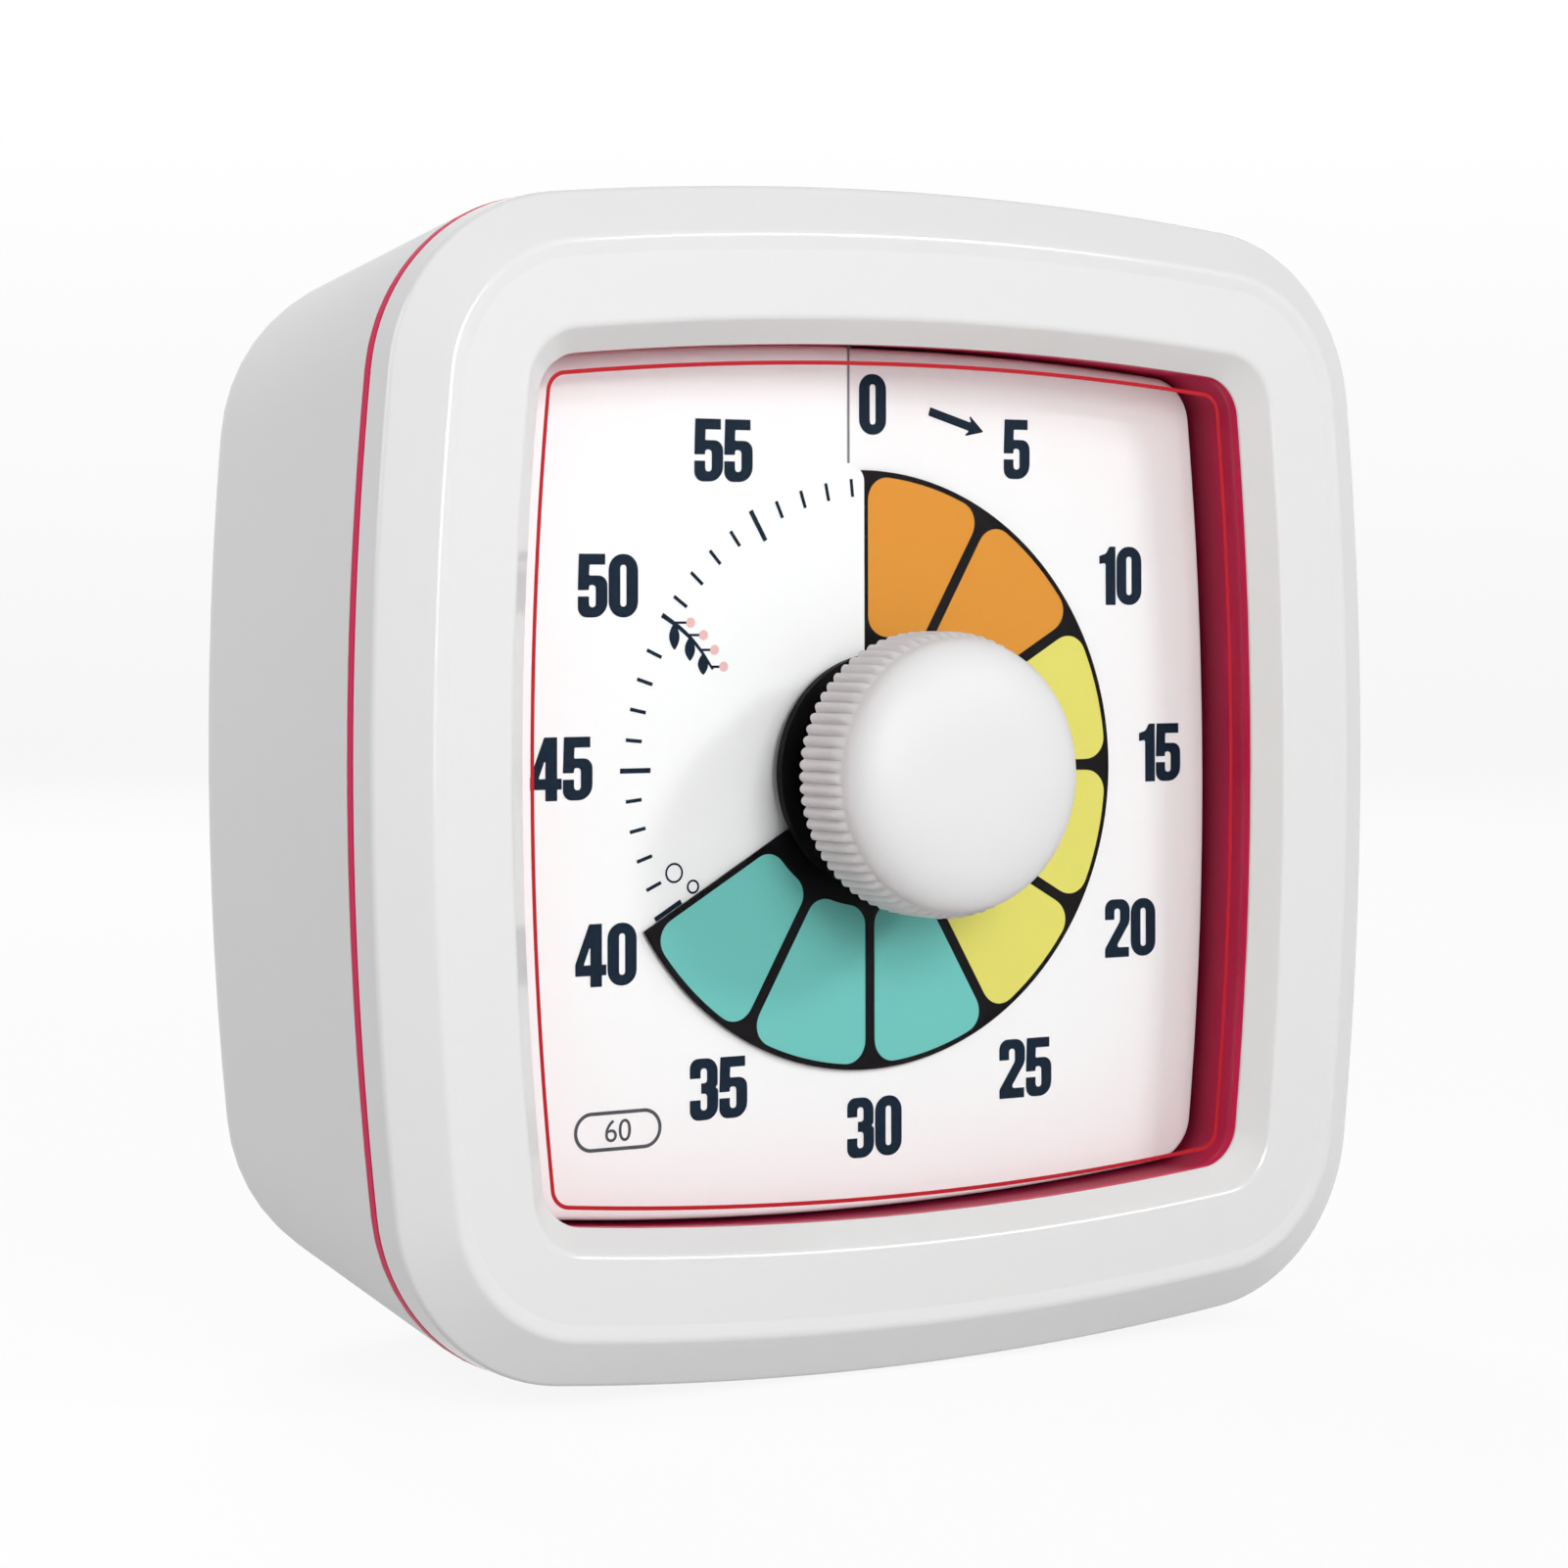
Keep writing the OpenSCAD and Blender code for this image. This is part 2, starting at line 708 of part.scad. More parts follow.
module middle_wheel() color("ivory") {
    wheel(middle_x, dial_z, middle_pinion, output_module, 270 + 15,
        output_depth - pinion_over, middle_depth - output_depth + 2 * pinion_over);
    wheel(middle_x, dial_z, middle_teeth, middle_module, 90 - rotor_turn,
        middle_depth - pinion_over, middle_t);
    bar(middle_x, dial_z, arbor_r, move_depth + lap, move_back - lap);
}

module rotor() color("dimgray") {
    wheel(rotor_x, dial_z + rotor_z, rotor_pinion, middle_module, 270 - rotor_turn + 18,
        middle_depth - 2 * pinion_over, middle_t + 2 * pinion_over);
    bar(rotor_x, dial_z + rotor_z, arbor_r, move_depth + lap, move_back - lap);
    bar(rotor_x, dial_z + rotor_z, magnet_r, move_back - magnet_len - contact_inset,
        move_back - contact_inset);
}

module coil() color("peru") {
    block(core_left, core_right, move_back - case_wall - core_t, move_back - case_wall,
        dial_z + core_low, dial_z + core_high);
    at(core_left + core_t, move_back - case_wall - winding_r - past,
        dial_z + (core_low + core_high) / 2)
        rotate([0, 90, 0]) cylinder(r = winding_r, h = winding_len);
}

// Case blank with its four screw tubes
module case_blank(front, back) {
    hw = move_w / 2;
    hh = move_h / 2;
    difference() {
        block(-hw, hw, front, back, dial_z - hh, dial_z + hh);
        difference() {
            block(case_wall - hw, hw - case_wall, move_depth + case_wall,
                move_back - case_wall, dial_z - hh + case_wall, dial_z + hh - case_wall);
            for (x = [-post_x, post_x], z = [-post_z, post_z])
                bar(x, dial_z + z, post_r, front, back);
        }
        for (x = [-post_x, post_x], z = [-post_z, post_z])
            bar(x, dial_z + z, pin_r + seat_fit, front - 1, back + 1);
        bar(0, dial_z, shaft_r + run_fit, front - 1, back + 1);
        for (p = [[middle_x, 0], [rotor_x, rotor_z]])
            bar(p.x, dial_z + p.y, arbor_r + run_fit, move_depth + 0.3, move_back - 0.3);
    }
}

module movement_front() color("lightgray") case_blank(move_depth, case_split);

module movement_back() color("lightgray") case_blank(case_split, move_back);

module circuit_board() color("seagreen") {
    difference() {
        block(board_x - board_w / 2, board_x + board_w / 2, board_depth,
            board_depth + board_t, board_z - board_h / 2, board_z + board_h / 2);
        for (x = [-board_pin_x, board_pin_x])
            bar(board_x + x, board_z - board_pin_z, pin_r + seat_fit,
                board_depth - past, board_depth + board_t + past);
    }
    block(chip_x - chip_w / 2, chip_x + chip_w / 2, board_depth - chip_t, board_depth,
        board_z - chip_h / 2, board_z + chip_h / 2);
}

module switch_body() color("silver") {
    block(switch_x - switch_w / 2, switch_x + switch_w / 2, board_depth + board_t,
        board_depth + board_t + switch_t, board_z - switch_h / 2, board_z + switch_h / 2);
}

module sound_switch() color("black") {
    foot = board_depth + board_t + switch_t + 0.05;
    back = body_depth - pad_drop;
    block(switch_x - stem_w / 2, switch_x + stem_w / 2, foot, back - pad_t / 2,
        board_z - stem_h / 2, board_z + stem_h / 2);
    block(switch_x - pad_half, switch_x + pad_half, back - pad_t, back,
        board_z - pad_half, board_z + pad_half);
    for (x = [-pad_half / 2, 0, pad_half / 2])
        block(switch_x + x - pad_t / 2, switch_x + x + pad_t / 2, back - pad_t / 2,
            body_depth, board_z - pad_half * 0.8, board_z + pad_half * 0.8);
}

module sounder() color("dimgray") {
    difference() {
        bar(sounder_x, board_z, sounder_r, rear_inner - sounder_t, rear_inner - seat_fit);
        bar(sounder_x, board_z, sounder_r * 0.7, rear_inner - sounder_t / 4,
            rear_inner + past);
    }
}

module battery_cell() color("gold") {
    at(cell_start, cell_depth, cell_z) rotate([0, 90, 0]) {
        cylinder(r = cell_r, h = cell_len);
        cylinder(r = cell_nub_r, h = cell_len + cell_nub);
    }
}

// Conical contact spring: a wire wound between the cell and its base
module contact_spring() color("silver") {
    base_x = contact_t - bay_half;
    wire = spring_wire;
    contact_strip(-bay_half);
    loft([for (i = [0 : spring_steps])
        let (f = i / spring_steps, a = 360 * spring_turns * f,
            r = spring_wide - (spring_wide - spring_narrow) * f,
            x = base_x + wire / 2 + (spring_len - 1.6 * wire) * f)
        [for (j = [0 : 5]) let (b = 60 * j)
            [x + wire * sin(b), ridge_y + cell_depth + (r + wire * cos(b)) * cos(a),
                cell_z + (r + wire * cos(b)) * sin(a)]]]);
}

// Strip that a contact is made on, from its left face
module contact_strip(x)
    block(x, x + contact_t, bay_floor + contact_inset, rear_inner - contact_inset,
        cell_z - contact_half, cell_z + contact_half);

module contact_plate() color("silver") {
    contact_strip(bay_half - contact_t);
    at(bay_half - contact_t - contact_dimple, cell_depth, cell_z)
        rotate([0, 90, 0]) cylinder(r = 2, h = contact_t);
}

// A curved tongue about the door's lower outer edge, hooked behind the rim
module tongue(x)
    at(x + tongue_w / 2, body_depth, door_foot) rotate([0, -90, 0])
        linear_extrude(tongue_w) intersection() {
            difference() {
                circle(tongue_out);
                circle(tongue_in);
            }
            polygon([[0, 0], for (a = [tongue_start, (tongue_start + tongue_end) / 2,
                tongue_end]) 4 * tongue_out * [cos(a), -sin(a)]]);
        }

// Battery door: it turns on two curved tongues, with grip grooves at the top
module battery_door() color("gainsboro") {
    difference() {
        block(-door_half, door_half, ledge_depth, body_depth, door_foot, door_top);
        for (i = [2 : 4])
            block(-grip_half, grip_half, body_depth - door_t / 3, body_depth + past,
                door_top - grip_pitch * i, door_top - grip_pitch * (i - 0.5));
    }
    for (x = [-tongue_x, tongue_x])
        tongue(x);
}

// A screw with a domed head; its tip points to the front
module screw(x, z, tip, seat, r, head, head_t) {
    bar(x, z, r, tip, seat + 0.1);
    difference() {
        bar(x, z, head, seat, seat + head_t);
        for (a = [0, 90])
            at(x, seat + head_t, z) rotate([0, a, 0])
                cube([1.4 * head, head_t, 0.3 * head], center = true);
    }
}

module housing_screws() color("silver") {
    for (x = [-pillar_x, pillar_x], z = [-pillar_z, pillar_z])
        screw(x, mid_z + z, pillar_front - 3.4, head_seat, screw_r, head_r, 1.8);
}

module dial_screws() color("silver") {
    for (x = [-ear_x, ear_x], z = [-ear_z, ear_z])
        screw(x, mid_z + z, tube_back - 3, tube_back + ear_t, pin_r, 1.8, 1);
}

module movement_screws() color("silver") {
    for (x = [-post_x, post_x], z = [-post_z, post_z])
        screw(x, dial_z + z, move_depth - 2, move_back, pin_r, 1.8, 1);
}

module board_screws() color("silver") {
    for (x = [-1, 1])
        at(board_x + x * board_pin_x, board_depth, board_z - board_pin_z)
            rotate([180, 0, 0]) {
                rotate([-90, 0, 0]) cylinder(r = 2 * pin_r, h = pin_r);
                rotate([90, 0, 0]) cylinder(r = pin_r, h = 4);
            }
}

module rubber_feet() color("dimgray") {
    for (x = [-foot_x, foot_x], d = foot_depths)
        at(x, d, 0) cylinder(r1 = foot_r - 0.6, r2 = foot_r - run_fit,
            h = mid_z - shell_half(d) + 2);
}

rear_shell();
front_frame();
accent_frame();
lens();
dial_plate();
colour_disc();
disc_hub();
knob();
knob_shaft();
clutch_spring();
clutch_collar();
movement_front();
movement_back();
output_wheel();
middle_wheel();
rotor();
coil();
circuit_board();
switch_body();
sound_switch();
sounder();
battery_cell();
contact_spring();
contact_plate();
battery_door();
housing_screws();
dial_screws();
movement_screws();
board_screws();
rubber_feet();
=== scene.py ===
import math
import bmesh
import bpy
import numpy as np
from mathutils import Matrix, Vector


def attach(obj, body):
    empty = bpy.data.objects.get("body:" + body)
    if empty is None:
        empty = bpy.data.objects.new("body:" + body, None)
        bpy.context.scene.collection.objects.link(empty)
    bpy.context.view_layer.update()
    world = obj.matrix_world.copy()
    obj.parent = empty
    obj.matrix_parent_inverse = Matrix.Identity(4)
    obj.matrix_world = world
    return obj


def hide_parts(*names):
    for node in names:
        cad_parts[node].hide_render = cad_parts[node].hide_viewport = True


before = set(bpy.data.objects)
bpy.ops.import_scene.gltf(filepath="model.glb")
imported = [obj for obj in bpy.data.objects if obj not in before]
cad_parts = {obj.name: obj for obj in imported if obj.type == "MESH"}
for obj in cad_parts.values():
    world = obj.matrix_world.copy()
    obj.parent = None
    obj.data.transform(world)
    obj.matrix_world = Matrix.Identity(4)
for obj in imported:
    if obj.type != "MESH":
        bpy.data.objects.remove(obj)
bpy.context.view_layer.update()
print("frame loaded")

# All sizes below are millimetres, as in the part's source; meshes are metres.
# Depths are counted back from the bezel's ridge.
metre = 0.001

body = {
    "sideRadius": 310.0,
    "ridge": -18.65,
    "middle": 49.3,
    "dial": 50.1,
    "sideSteps": 26,
    "cornerSteps": 22,
}
dialLift = body["dial"] - body["middle"]


def puffedRings(half, corner, depth):
    # Half sizes, corner radii and depths give one closed outline each. A quarter
    # is an arc of the side radius, centred radius - half beyond the middle, then
    # a corner arc about (c, c) where both arcs touch; it's turned four times.
    half, corner, depth = (np.asarray(v, float)[:, None] for v in (half, corner, depth))
    radius = body["sideRadius"]
    m = radius - half
    c = (np.sqrt(2 * (radius - corner) ** 2 - m * m) - m) / 2
    lim = np.arctan2(c, c + m)
    u = np.arange(body["sideSteps"]) / body["sideSteps"]
    v = np.arange(body["cornerSteps"]) / body["cornerSteps"]
    a = lim * (2 * u - 1)
    b = lim + (np.pi / 2 - 2 * lim) * v
    x = np.concatenate([radius * np.sin(a), c + corner * np.sin(b)], axis=1)
    z = np.concatenate([radius * np.cos(a) - m, c + corner * np.cos(b)], axis=1)
    xs = np.concatenate([x, z, -x, -z], axis=1)
    zs = np.concatenate([z, -x, -z, x], axis=1)
    return np.stack([xs, np.broadcast_to(depth, xs.shape), zs], axis=-1)


def roundedPath(points, steps=6, closed=False):
    # Corners (a, b, r) become arcs of radius r that touch both sides, with one
    # more point just before and after each arc to keep the flats flat.
    pts = [np.array(p[:2], float) for p in points]
    out = []
    last = len(points) - 1
    for i, (x, y, r) in enumerate(points):
        if r <= 0 or (not closed and i in (0, last)):
            out.append(pts[i][None])
            continue
        p, q, s = pts[i - 1], pts[i], pts[(i + 1) % len(pts)]
        d1, d2 = (p - q), (s - q)
        l1, l2 = np.linalg.norm(d1), np.linalg.norm(d2)
        d1, d2 = d1 / l1, d2 / l2
        half = math.acos(float(np.clip(d1 @ d2, -1, 1))) / 2
        if half > math.pi / 2 - 0.02:
            out.append(q[None])
            continue
        cut = min(r / math.tan(half), 0.48 * l1, 0.48 * l2)
        r = cut * math.tan(half)
        mid = (d1 + d2) / np.linalg.norm(d1 + d2)
        centre = q + mid * r / math.sin(half)
        v1, v2 = q + d1 * cut - centre, q + d2 * cut - centre
        turn = math.atan2(v1[0] * v2[1] - v1[1] * v2[0], float(v1 @ v2))
        t = np.linspace(0, 1, steps + 1) * turn
        arc = centre + np.stack([v1[0] * np.cos(t) - v1[1] * np.sin(t),
                                 v1[0] * np.sin(t) + v1[1] * np.cos(t)], axis=1)
        ease = 0.12 * cut
        out.append(np.concatenate([[arc[0] + d1 * min(ease, 0.02 * l1)], arc,
                                   [arc[-1] + d2 * min(ease, 0.02 * l2)]]))
    return np.concatenate(out)


def grid(points, around=False, along=False, flip=False):
    # Rows x columns of points joined by quads; around closes the columns and
    # along closes the rows.
    rows, cols = points.shape[:2]
    i = np.arange(rows if along else rows - 1)[:, None]
    j = np.arange(cols if around else cols - 1)[None, :]
    a, b = i * cols + j, i * cols + (j + 1) % cols
    c, d = ((i + 1) % rows) * cols + (j + 1) % cols, ((i + 1) % rows) * cols + j
    quads = np.stack(np.broadcast_arrays(a, b, c, d), axis=-1).reshape(-1, 4)
    return points.reshape(-1, 3), quads[:, ::-1] if flip else quads


def place(points):
    # Dial and housing millimetres (x, depth, height about the middle) to metres.
    p = np.array(points, float)
    p[..., 1] += body["ridge"]
    p[..., 2] += body["middle"]
    return p * metre


def addObject(name, data):
    thing = bpy.data.objects.new(name, data)
    bpy.context.scene.collection.objects.link(thing)
    return thing


def makePiece(name, parts, materials, rider, stands=(), outward=True, sharp=32.0,
              facing=None):
    # Parts are (points in metres, faces) or (points, faces, material numbers).
    verts, faces, slots, base = [], [], [], 0
    for part in parts:
        p, f = np.asarray(part[0]).reshape(-1, 3), part[1]
        verts.append(p)
        faces += [tuple(int(k) + base for k in q) for q in f]
        slots += (part[2] if len(part) > 2 else np.zeros(len(f), int)).tolist()
        base += len(p)
    mesh = bpy.data.meshes.new(name)
    mesh.from_pydata(np.concatenate(verts).tolist(), [], faces)
    mesh.polygons.foreach_set("material_index", slots)
    bm = bmesh.new()
    bm.from_mesh(mesh)
    bmesh.ops.remove_doubles(bm, verts=bm.verts, dist=2e-7)
    bmesh.ops.dissolve_degenerate(bm, dist=1e-8, edges=bm.edges)
    if outward:
        bmesh.ops.recalc_face_normals(bm, faces=bm.faces)
    if facing is not None:
        way = Vector(facing)
        bmesh.ops.reverse_faces(bm, faces=[f for f in bm.faces if f.normal @ way < 0])
    bm.to_mesh(mesh)
    bm.free()
    mesh.polygons.foreach_set("use_smooth", [True] * len(mesh.polygons))
    mesh.set_sharp_from_angle(angle=math.radians(sharp))
    piece = addObject(name, mesh)
    for m in materials:
        mesh.materials.append(m)
    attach(piece, rider)
    if stands:
        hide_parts(*stands)
    return piece


def printPiece(name, parts, ink, rider="housing"):
    # Flat print, all of it facing the front.
    return makePiece(name, parts, [ink], rider, outward=False, facing=(0, -1, 0))


def seenBright(tree, path):
    # 1 for the rays that see the white background: camera, glossy, transmission.
    return maths(tree, "MAXIMUM", path.outputs["Is Camera Ray"],
                 maths(tree, "MAXIMUM", path.outputs["Is Glossy Ray"],
                       path.outputs["Is Transmission Ray"]))


def groupOf(name, base, **floats):
    # Three groups give every material its colour, roughness and height, from a
    # place, a base colour and a few values.
    tree = bpy.data.node_groups.new(name, "ShaderNodeTree")

    def socket(label, way, kind):
        return tree.interface.new_socket(label, in_out=way, socket_type="NodeSocket" + kind)

    socket("Place", "INPUT", "Vector")
    socket("Base", "INPUT", "Color").default_value = (base, base, base, 1)
    for label, value in floats.items():
        socket(label.replace("_", " "), "INPUT", "Float").default_value = value
    socket("Colour", "OUTPUT", "Color")
    socket("Roughness", "OUTPUT", "Float")
    socket("Height", "OUTPUT", "Float")
    return tree, tree.nodes.new("NodeGroupInput"), tree.nodes.new("NodeGroupOutput")


def node(tree, kind, **values):
    n = tree.nodes.new(kind)
    for key, value in values.items():
        if isinstance(value, bpy.types.NodeSocket):
            tree.links.new(value, n.inputs[key.replace("_", " ")])
        elif key.replace("_", " ") in n.inputs:
            n.inputs[key.replace("_", " ")].default_value = value
        else:
            setattr(n, key, value)
    return n


def maths(tree, operation, a, b=0.0):
    n = tree.nodes.new("ShaderNodeMath")
    n.operation = operation
    for socket, value in zip(n.inputs, (a, b)):
        if isinstance(value, bpy.types.NodeSocket):
            tree.links.new(value, socket)
        else:
            socket.default_value = value
    return n.outputs[0]


def tinted(tree, colour, level, to):
    # A colour times a level, into a socket.
    tint = node(tree, "ShaderNodeVectorMath", operation="SCALE")
    tree.links.new(colour, tint.inputs[0])
    tree.links.new(level, tint.inputs["Scale"])
    tree.links.new(tint.outputs[0], to)


def roughened(tree, value, give, take, **limits):
    # Roughness goes from low to high as the value does.
    span = node(tree, "ShaderNodeMapRange", Value=value, To_Min=give.outputs["Rough Low"],
                To_Max=give.outputs["Rough High"], **limits)
    tree.links.new(span.outputs["Result"], take.inputs["Roughness"])


def mouldedSkin():
    # Slow cloudiness in colour and roughness, a fine pebble in height.
    tree, give, take = groupOf("mouldedSkin", 0.8, Cloud=0.03, Grain_Scale=2200.0,
                               Rough_Low=0.3, Rough_High=0.4)
    cloud = node(tree, "ShaderNodeTexNoise", Vector=give.outputs["Place"], Scale=38.0,
                 Detail=3.0, Roughness=0.55)
    pebble = node(tree, "ShaderNodeTexVoronoi", Vector=give.outputs["Place"],
                  Scale=give.outputs["Grain Scale"], feature="SMOOTH_F1")
    fine = node(tree, "ShaderNodeTexNoise", Vector=give.outputs["Place"],
                Scale=give.outputs["Grain Scale"], Detail=2.0)
    sway = maths(tree, "MULTIPLY", maths(tree, "SUBTRACT", cloud.outputs["Fac"], 0.5),
                 give.outputs["Cloud"])
    fleck = maths(tree, "MULTIPLY", maths(tree, "SUBTRACT", fine.outputs["Fac"], 0.5),
                  maths(tree, "MULTIPLY", give.outputs["Cloud"], 0.5))
    level = maths(tree, "ADD", 1.0, maths(tree, "ADD", sway, fleck))
    tinted(tree, give.outputs["Base"], level, take.inputs["Colour"])
    roughened(tree, cloud.outputs["Fac"], give, take, From_Min=0.1, From_Max=0.9)
    tall = maths(tree, "ADD", maths(tree, "MULTIPLY", pebble.outputs["Distance"], 0.6),
                 maths(tree, "MULTIPLY", fine.outputs["Fac"], 0.4))
    tree.links.new(tall, take.inputs["Height"])
    return tree


def printedInk():
    # Ink laid over plastic: slow density changes and pin-sized speckle.
    tree, give, take = groupOf("printedInk", 0.1, Speckle=0.05, Rough_Low=0.4,
                               Rough_High=0.55)
    density = node(tree, "ShaderNodeTexNoise", Vector=give.outputs["Place"], Scale=120.0,
                   Detail=4.0)
    dots = node(tree, "ShaderNodeTexNoise", Vector=give.outputs["Place"], Scale=4200.0,
                Detail=1.0)
    mix = maths(tree, "ADD", maths(tree, "SUBTRACT", density.outputs["Fac"], 0.5),
                maths(tree, "SUBTRACT", dots.outputs["Fac"], 0.5))
    level = maths(tree, "ADD", 1.0, maths(tree, "MULTIPLY", mix, give.outputs["Speckle"]))
    tinted(tree, give.outputs["Base"], level, take.inputs["Colour"])
    roughened(tree, density.outputs["Fac"], give, take)
    tree.links.new(dots.outputs["Fac"], take.inputs["Height"])
    return tree


def drawnMetal():
    # Fine lines along X from stretched noise.
    tree, give, take = groupOf("drawnMetal", 0.6, Rough_Low=0.25, Rough_High=0.45)
    stretch = node(tree, "ShaderNodeMapping", Vector=give.outputs["Place"],
                   Scale=(0.04, 1.0, 1.0))
    lines = node(tree, "ShaderNodeTexNoise", Vector=stretch.outputs[0], Scale=5200.0,
                 Detail=3.0)
    level = maths(tree, "ADD", 0.94, maths(tree, "MULTIPLY", lines.outputs["Fac"], 0.12))
    tinted(tree, give.outputs["Base"], level, take.inputs["Colour"])
    roughened(tree, lines.outputs["Fac"], give, take)
    tree.links.new(lines.outputs["Fac"], take.inputs["Height"])
    return tree


skinGroup, inkGroup, metalGroup = mouldedSkin(), printedInk(), drawnMetal()


def linear(rgb):
    # Display values from 0 to 255 to linear light.
    c = np.array(rgb, float) / 255
    return (*np.where(c <= 0.04045, c / 12.92, ((c + 0.055) / 1.055) ** 2.4), 1.0)


def finish(name, group, colour, bump=0.2, depth=2e-5, constants=None, **inputs):
    mat = bpy.data.materials.new(name)
    mat.use_nodes = True
    tree = mat.node_tree
    shader = tree.nodes["Principled BSDF"]
    coords = tree.nodes.new("ShaderNodeTexCoord")
    g = tree.nodes.new("ShaderNodeGroup")
    g.node_tree = group
    tree.links.new(coords.outputs["Object"], g.inputs["Place"])
    g.inputs["Base"].default_value = linear(colour)
    for key, value in inputs.items():
        g.inputs[key.replace("_", " ")].default_value = value
    tree.links.new(g.outputs["Colour"], shader.inputs["Base Color"])
    tree.links.new(g.outputs["Roughness"], shader.inputs["Roughness"])
    dent = tree.nodes.new("ShaderNodeBump")
    dent.inputs["Strength"].default_value = bump
    dent.inputs["Distance"].default_value = depth
    tree.links.new(g.outputs["Height"], dent.inputs["Height"])
    tree.links.new(dent.outputs["Normal"], shader.inputs["Normal"])
    for key, value in (constants or {}).items():
        shader.inputs[key].default_value = value
    mat.diffuse_color = linear(colour)
    return mat


shellWhite = finish("shellWhite", skinGroup, (227, 227, 228), bump=0.25, Cloud=0.02,
                    Grain_Scale=1900.0, Rough_Low=0.42, Rough_High=0.5)
frameWhite = finish("frameWhite", skinGroup, (225, 225, 225), bump=0.03, Cloud=0.012,
                    Grain_Scale=2600.0, Rough_Low=0.15, Rough_High=0.19)
faintSheen = {"Specular IOR Level": 0.12}
inkSheen = {"Specular IOR Level": 0.08}
metallic = {"Metallic": 1.0}
crimson = finish("crimson", skinGroup, (206, 6, 74), bump=0.06, Cloud=0.05, Rough_Low=0.35,
                 Rough_High=0.42, constants=faintSheen)

# Painted shade on the crimson window walls, darker towards the dial.
paintedWallShade = {  # where each ramp starts and ends, in metres
    "strength": 0.66, "Y": (-0.0145, -0.0095), "X": (0.031, 0.035), "Z": (0.021, 0.017),
}


def paintShadeOnWalls(mat):
    # Painted shade: the colour loses strength towards the dial on the right and lower walls,
    # a ramp in depth times the larger of the ramps across and down.
    tree = mat.node_tree
    shader = tree.nodes["Principled BSDF"]
    colour = shader.inputs["Base Color"].links[0].from_socket
    coords = tree.nodes.new("ShaderNodeTexCoord")
    apart = node(tree, "ShaderNodeSeparateXYZ", Vector=coords.outputs["Object"])
    ramps = {}
    for axis in "XYZ":
        start, end = paintedWallShade[axis]
        ramp = node(tree, "ShaderNodeMapRange", Value=apart.outputs[axis], From_Min=start,
                    From_Max=end)
        ramps[axis] = ramp.outputs["Result"]
    wall = maths(tree, "MAXIMUM", ramps["X"], ramps["Z"])
    share = maths(tree, "MULTIPLY", maths(tree, "MULTIPLY", ramps["Y"], wall),
                  paintedWallShade["strength"])
    tinted(tree, colour, maths(tree, "SUBTRACT", 1.0, share), shader.inputs["Base Color"])


# the crimson walls get painted shade near the dial
paintShadeOnWalls(crimson)
# A lighter copy of the crimson for the seam band: painted light on the same plastic as the
# window tube.
litSeamCrimson = finish("litSeamCrimson", skinGroup, (212, 14, 80), bump=0.06, Cloud=0.05,
                     Rough_Low=0.35, Rough_High=0.42, constants=faintSheen)
dialWhite = finish("dialWhite", skinGroup, (248, 248, 248), bump=0.12, Cloud=0.01,
                   Grain_Scale=3000.0, Rough_Low=0.5, Rough_High=0.6)
knobWhite = finish("knobWhite", skinGroup, (224, 224, 224), bump=0.3, Cloud=0.02,
                   Grain_Scale=2300.0, Rough_Low=0.44, Rough_High=0.52)
satinBlack = finish("satinBlack", skinGroup, (6, 4, 7), bump=0.15, Cloud=0.2,
                    Rough_Low=0.5, Rough_High=0.65, constants=faintSheen)
rubber = finish("rubber", skinGroup, (88, 88, 92), bump=0.4, Cloud=0.1,
                Grain_Scale=1500.0, Rough_Low=0.75, Rough_High=0.85)
caseGrey = finish("caseGrey", skinGroup, (196, 198, 200), bump=0.2, Cloud=0.04)
acetal = finish("acetal", skinGroup, (236, 230, 214), bump=0.1, Cloud=0.03)
boardGreen = finish("boardGreen", skinGroup, (36, 110, 66), bump=0.2, Cloud=0.12)
cellWrap = finish("cellWrap", skinGroup, (176, 128, 62), bump=0.05, Cloud=0.08,
                  Rough_Low=0.22, Rough_High=0.3)
navyInk = finish("navyInk", inkGroup, (16, 31, 47), bump=0.05, Speckle=0.16,
                 constants=inkSheen)
blackInk = finish("blackInk", inkGroup, (6, 3, 6), bump=0.05, Speckle=0.2,
                  constants=inkSheen)
# grey for the painted shadow line at the dial's step
stepShadowPaint = finish("stepShadowPaint", inkGroup, (112, 114, 118), bump=0.05, Speckle=0.1)
greyInk = finish("greyInk", inkGroup, (58, 60, 66), bump=0.05, Speckle=0.12)
redInk = finish("redInk", inkGroup, (178, 20, 34), bump=0.05, Speckle=0.08,
                constants={"Specular IOR Level": 0.2})
orangeInk = finish("orangeInk", inkGroup, (223, 149, 56), bump=0.05, Speckle=0.035,
                   constants=faintSheen)
yellowInk = finish("yellowInk", inkGroup, (228, 221, 110), bump=0.05, Speckle=0.035,
                   constants=faintSheen)
tealInk = finish("tealInk", inkGroup, (112, 197, 189), bump=0.05, Speckle=0.035,
                 constants=faintSheen)
coralInk = finish("coralInk", inkGroup, (232, 118, 102), bump=0.05, Speckle=0.035,
                  constants=faintSheen)
blushInk = finish("blushInk", inkGroup, (236, 190, 186), bump=0.05, Speckle=0.06,
                  constants=faintSheen)
steel = finish("steel", metalGroup, (196, 198, 202), bump=0.1, constants=metallic)
brass = finish("brass", metalGroup, (214, 178, 106), bump=0.1, constants=metallic)
copper = finish("copper", metalGroup, (188, 104, 62), bump=0.3, depth=6e-5,
                constants=metallic, Rough_Low=0.3, Rough_High=0.5)


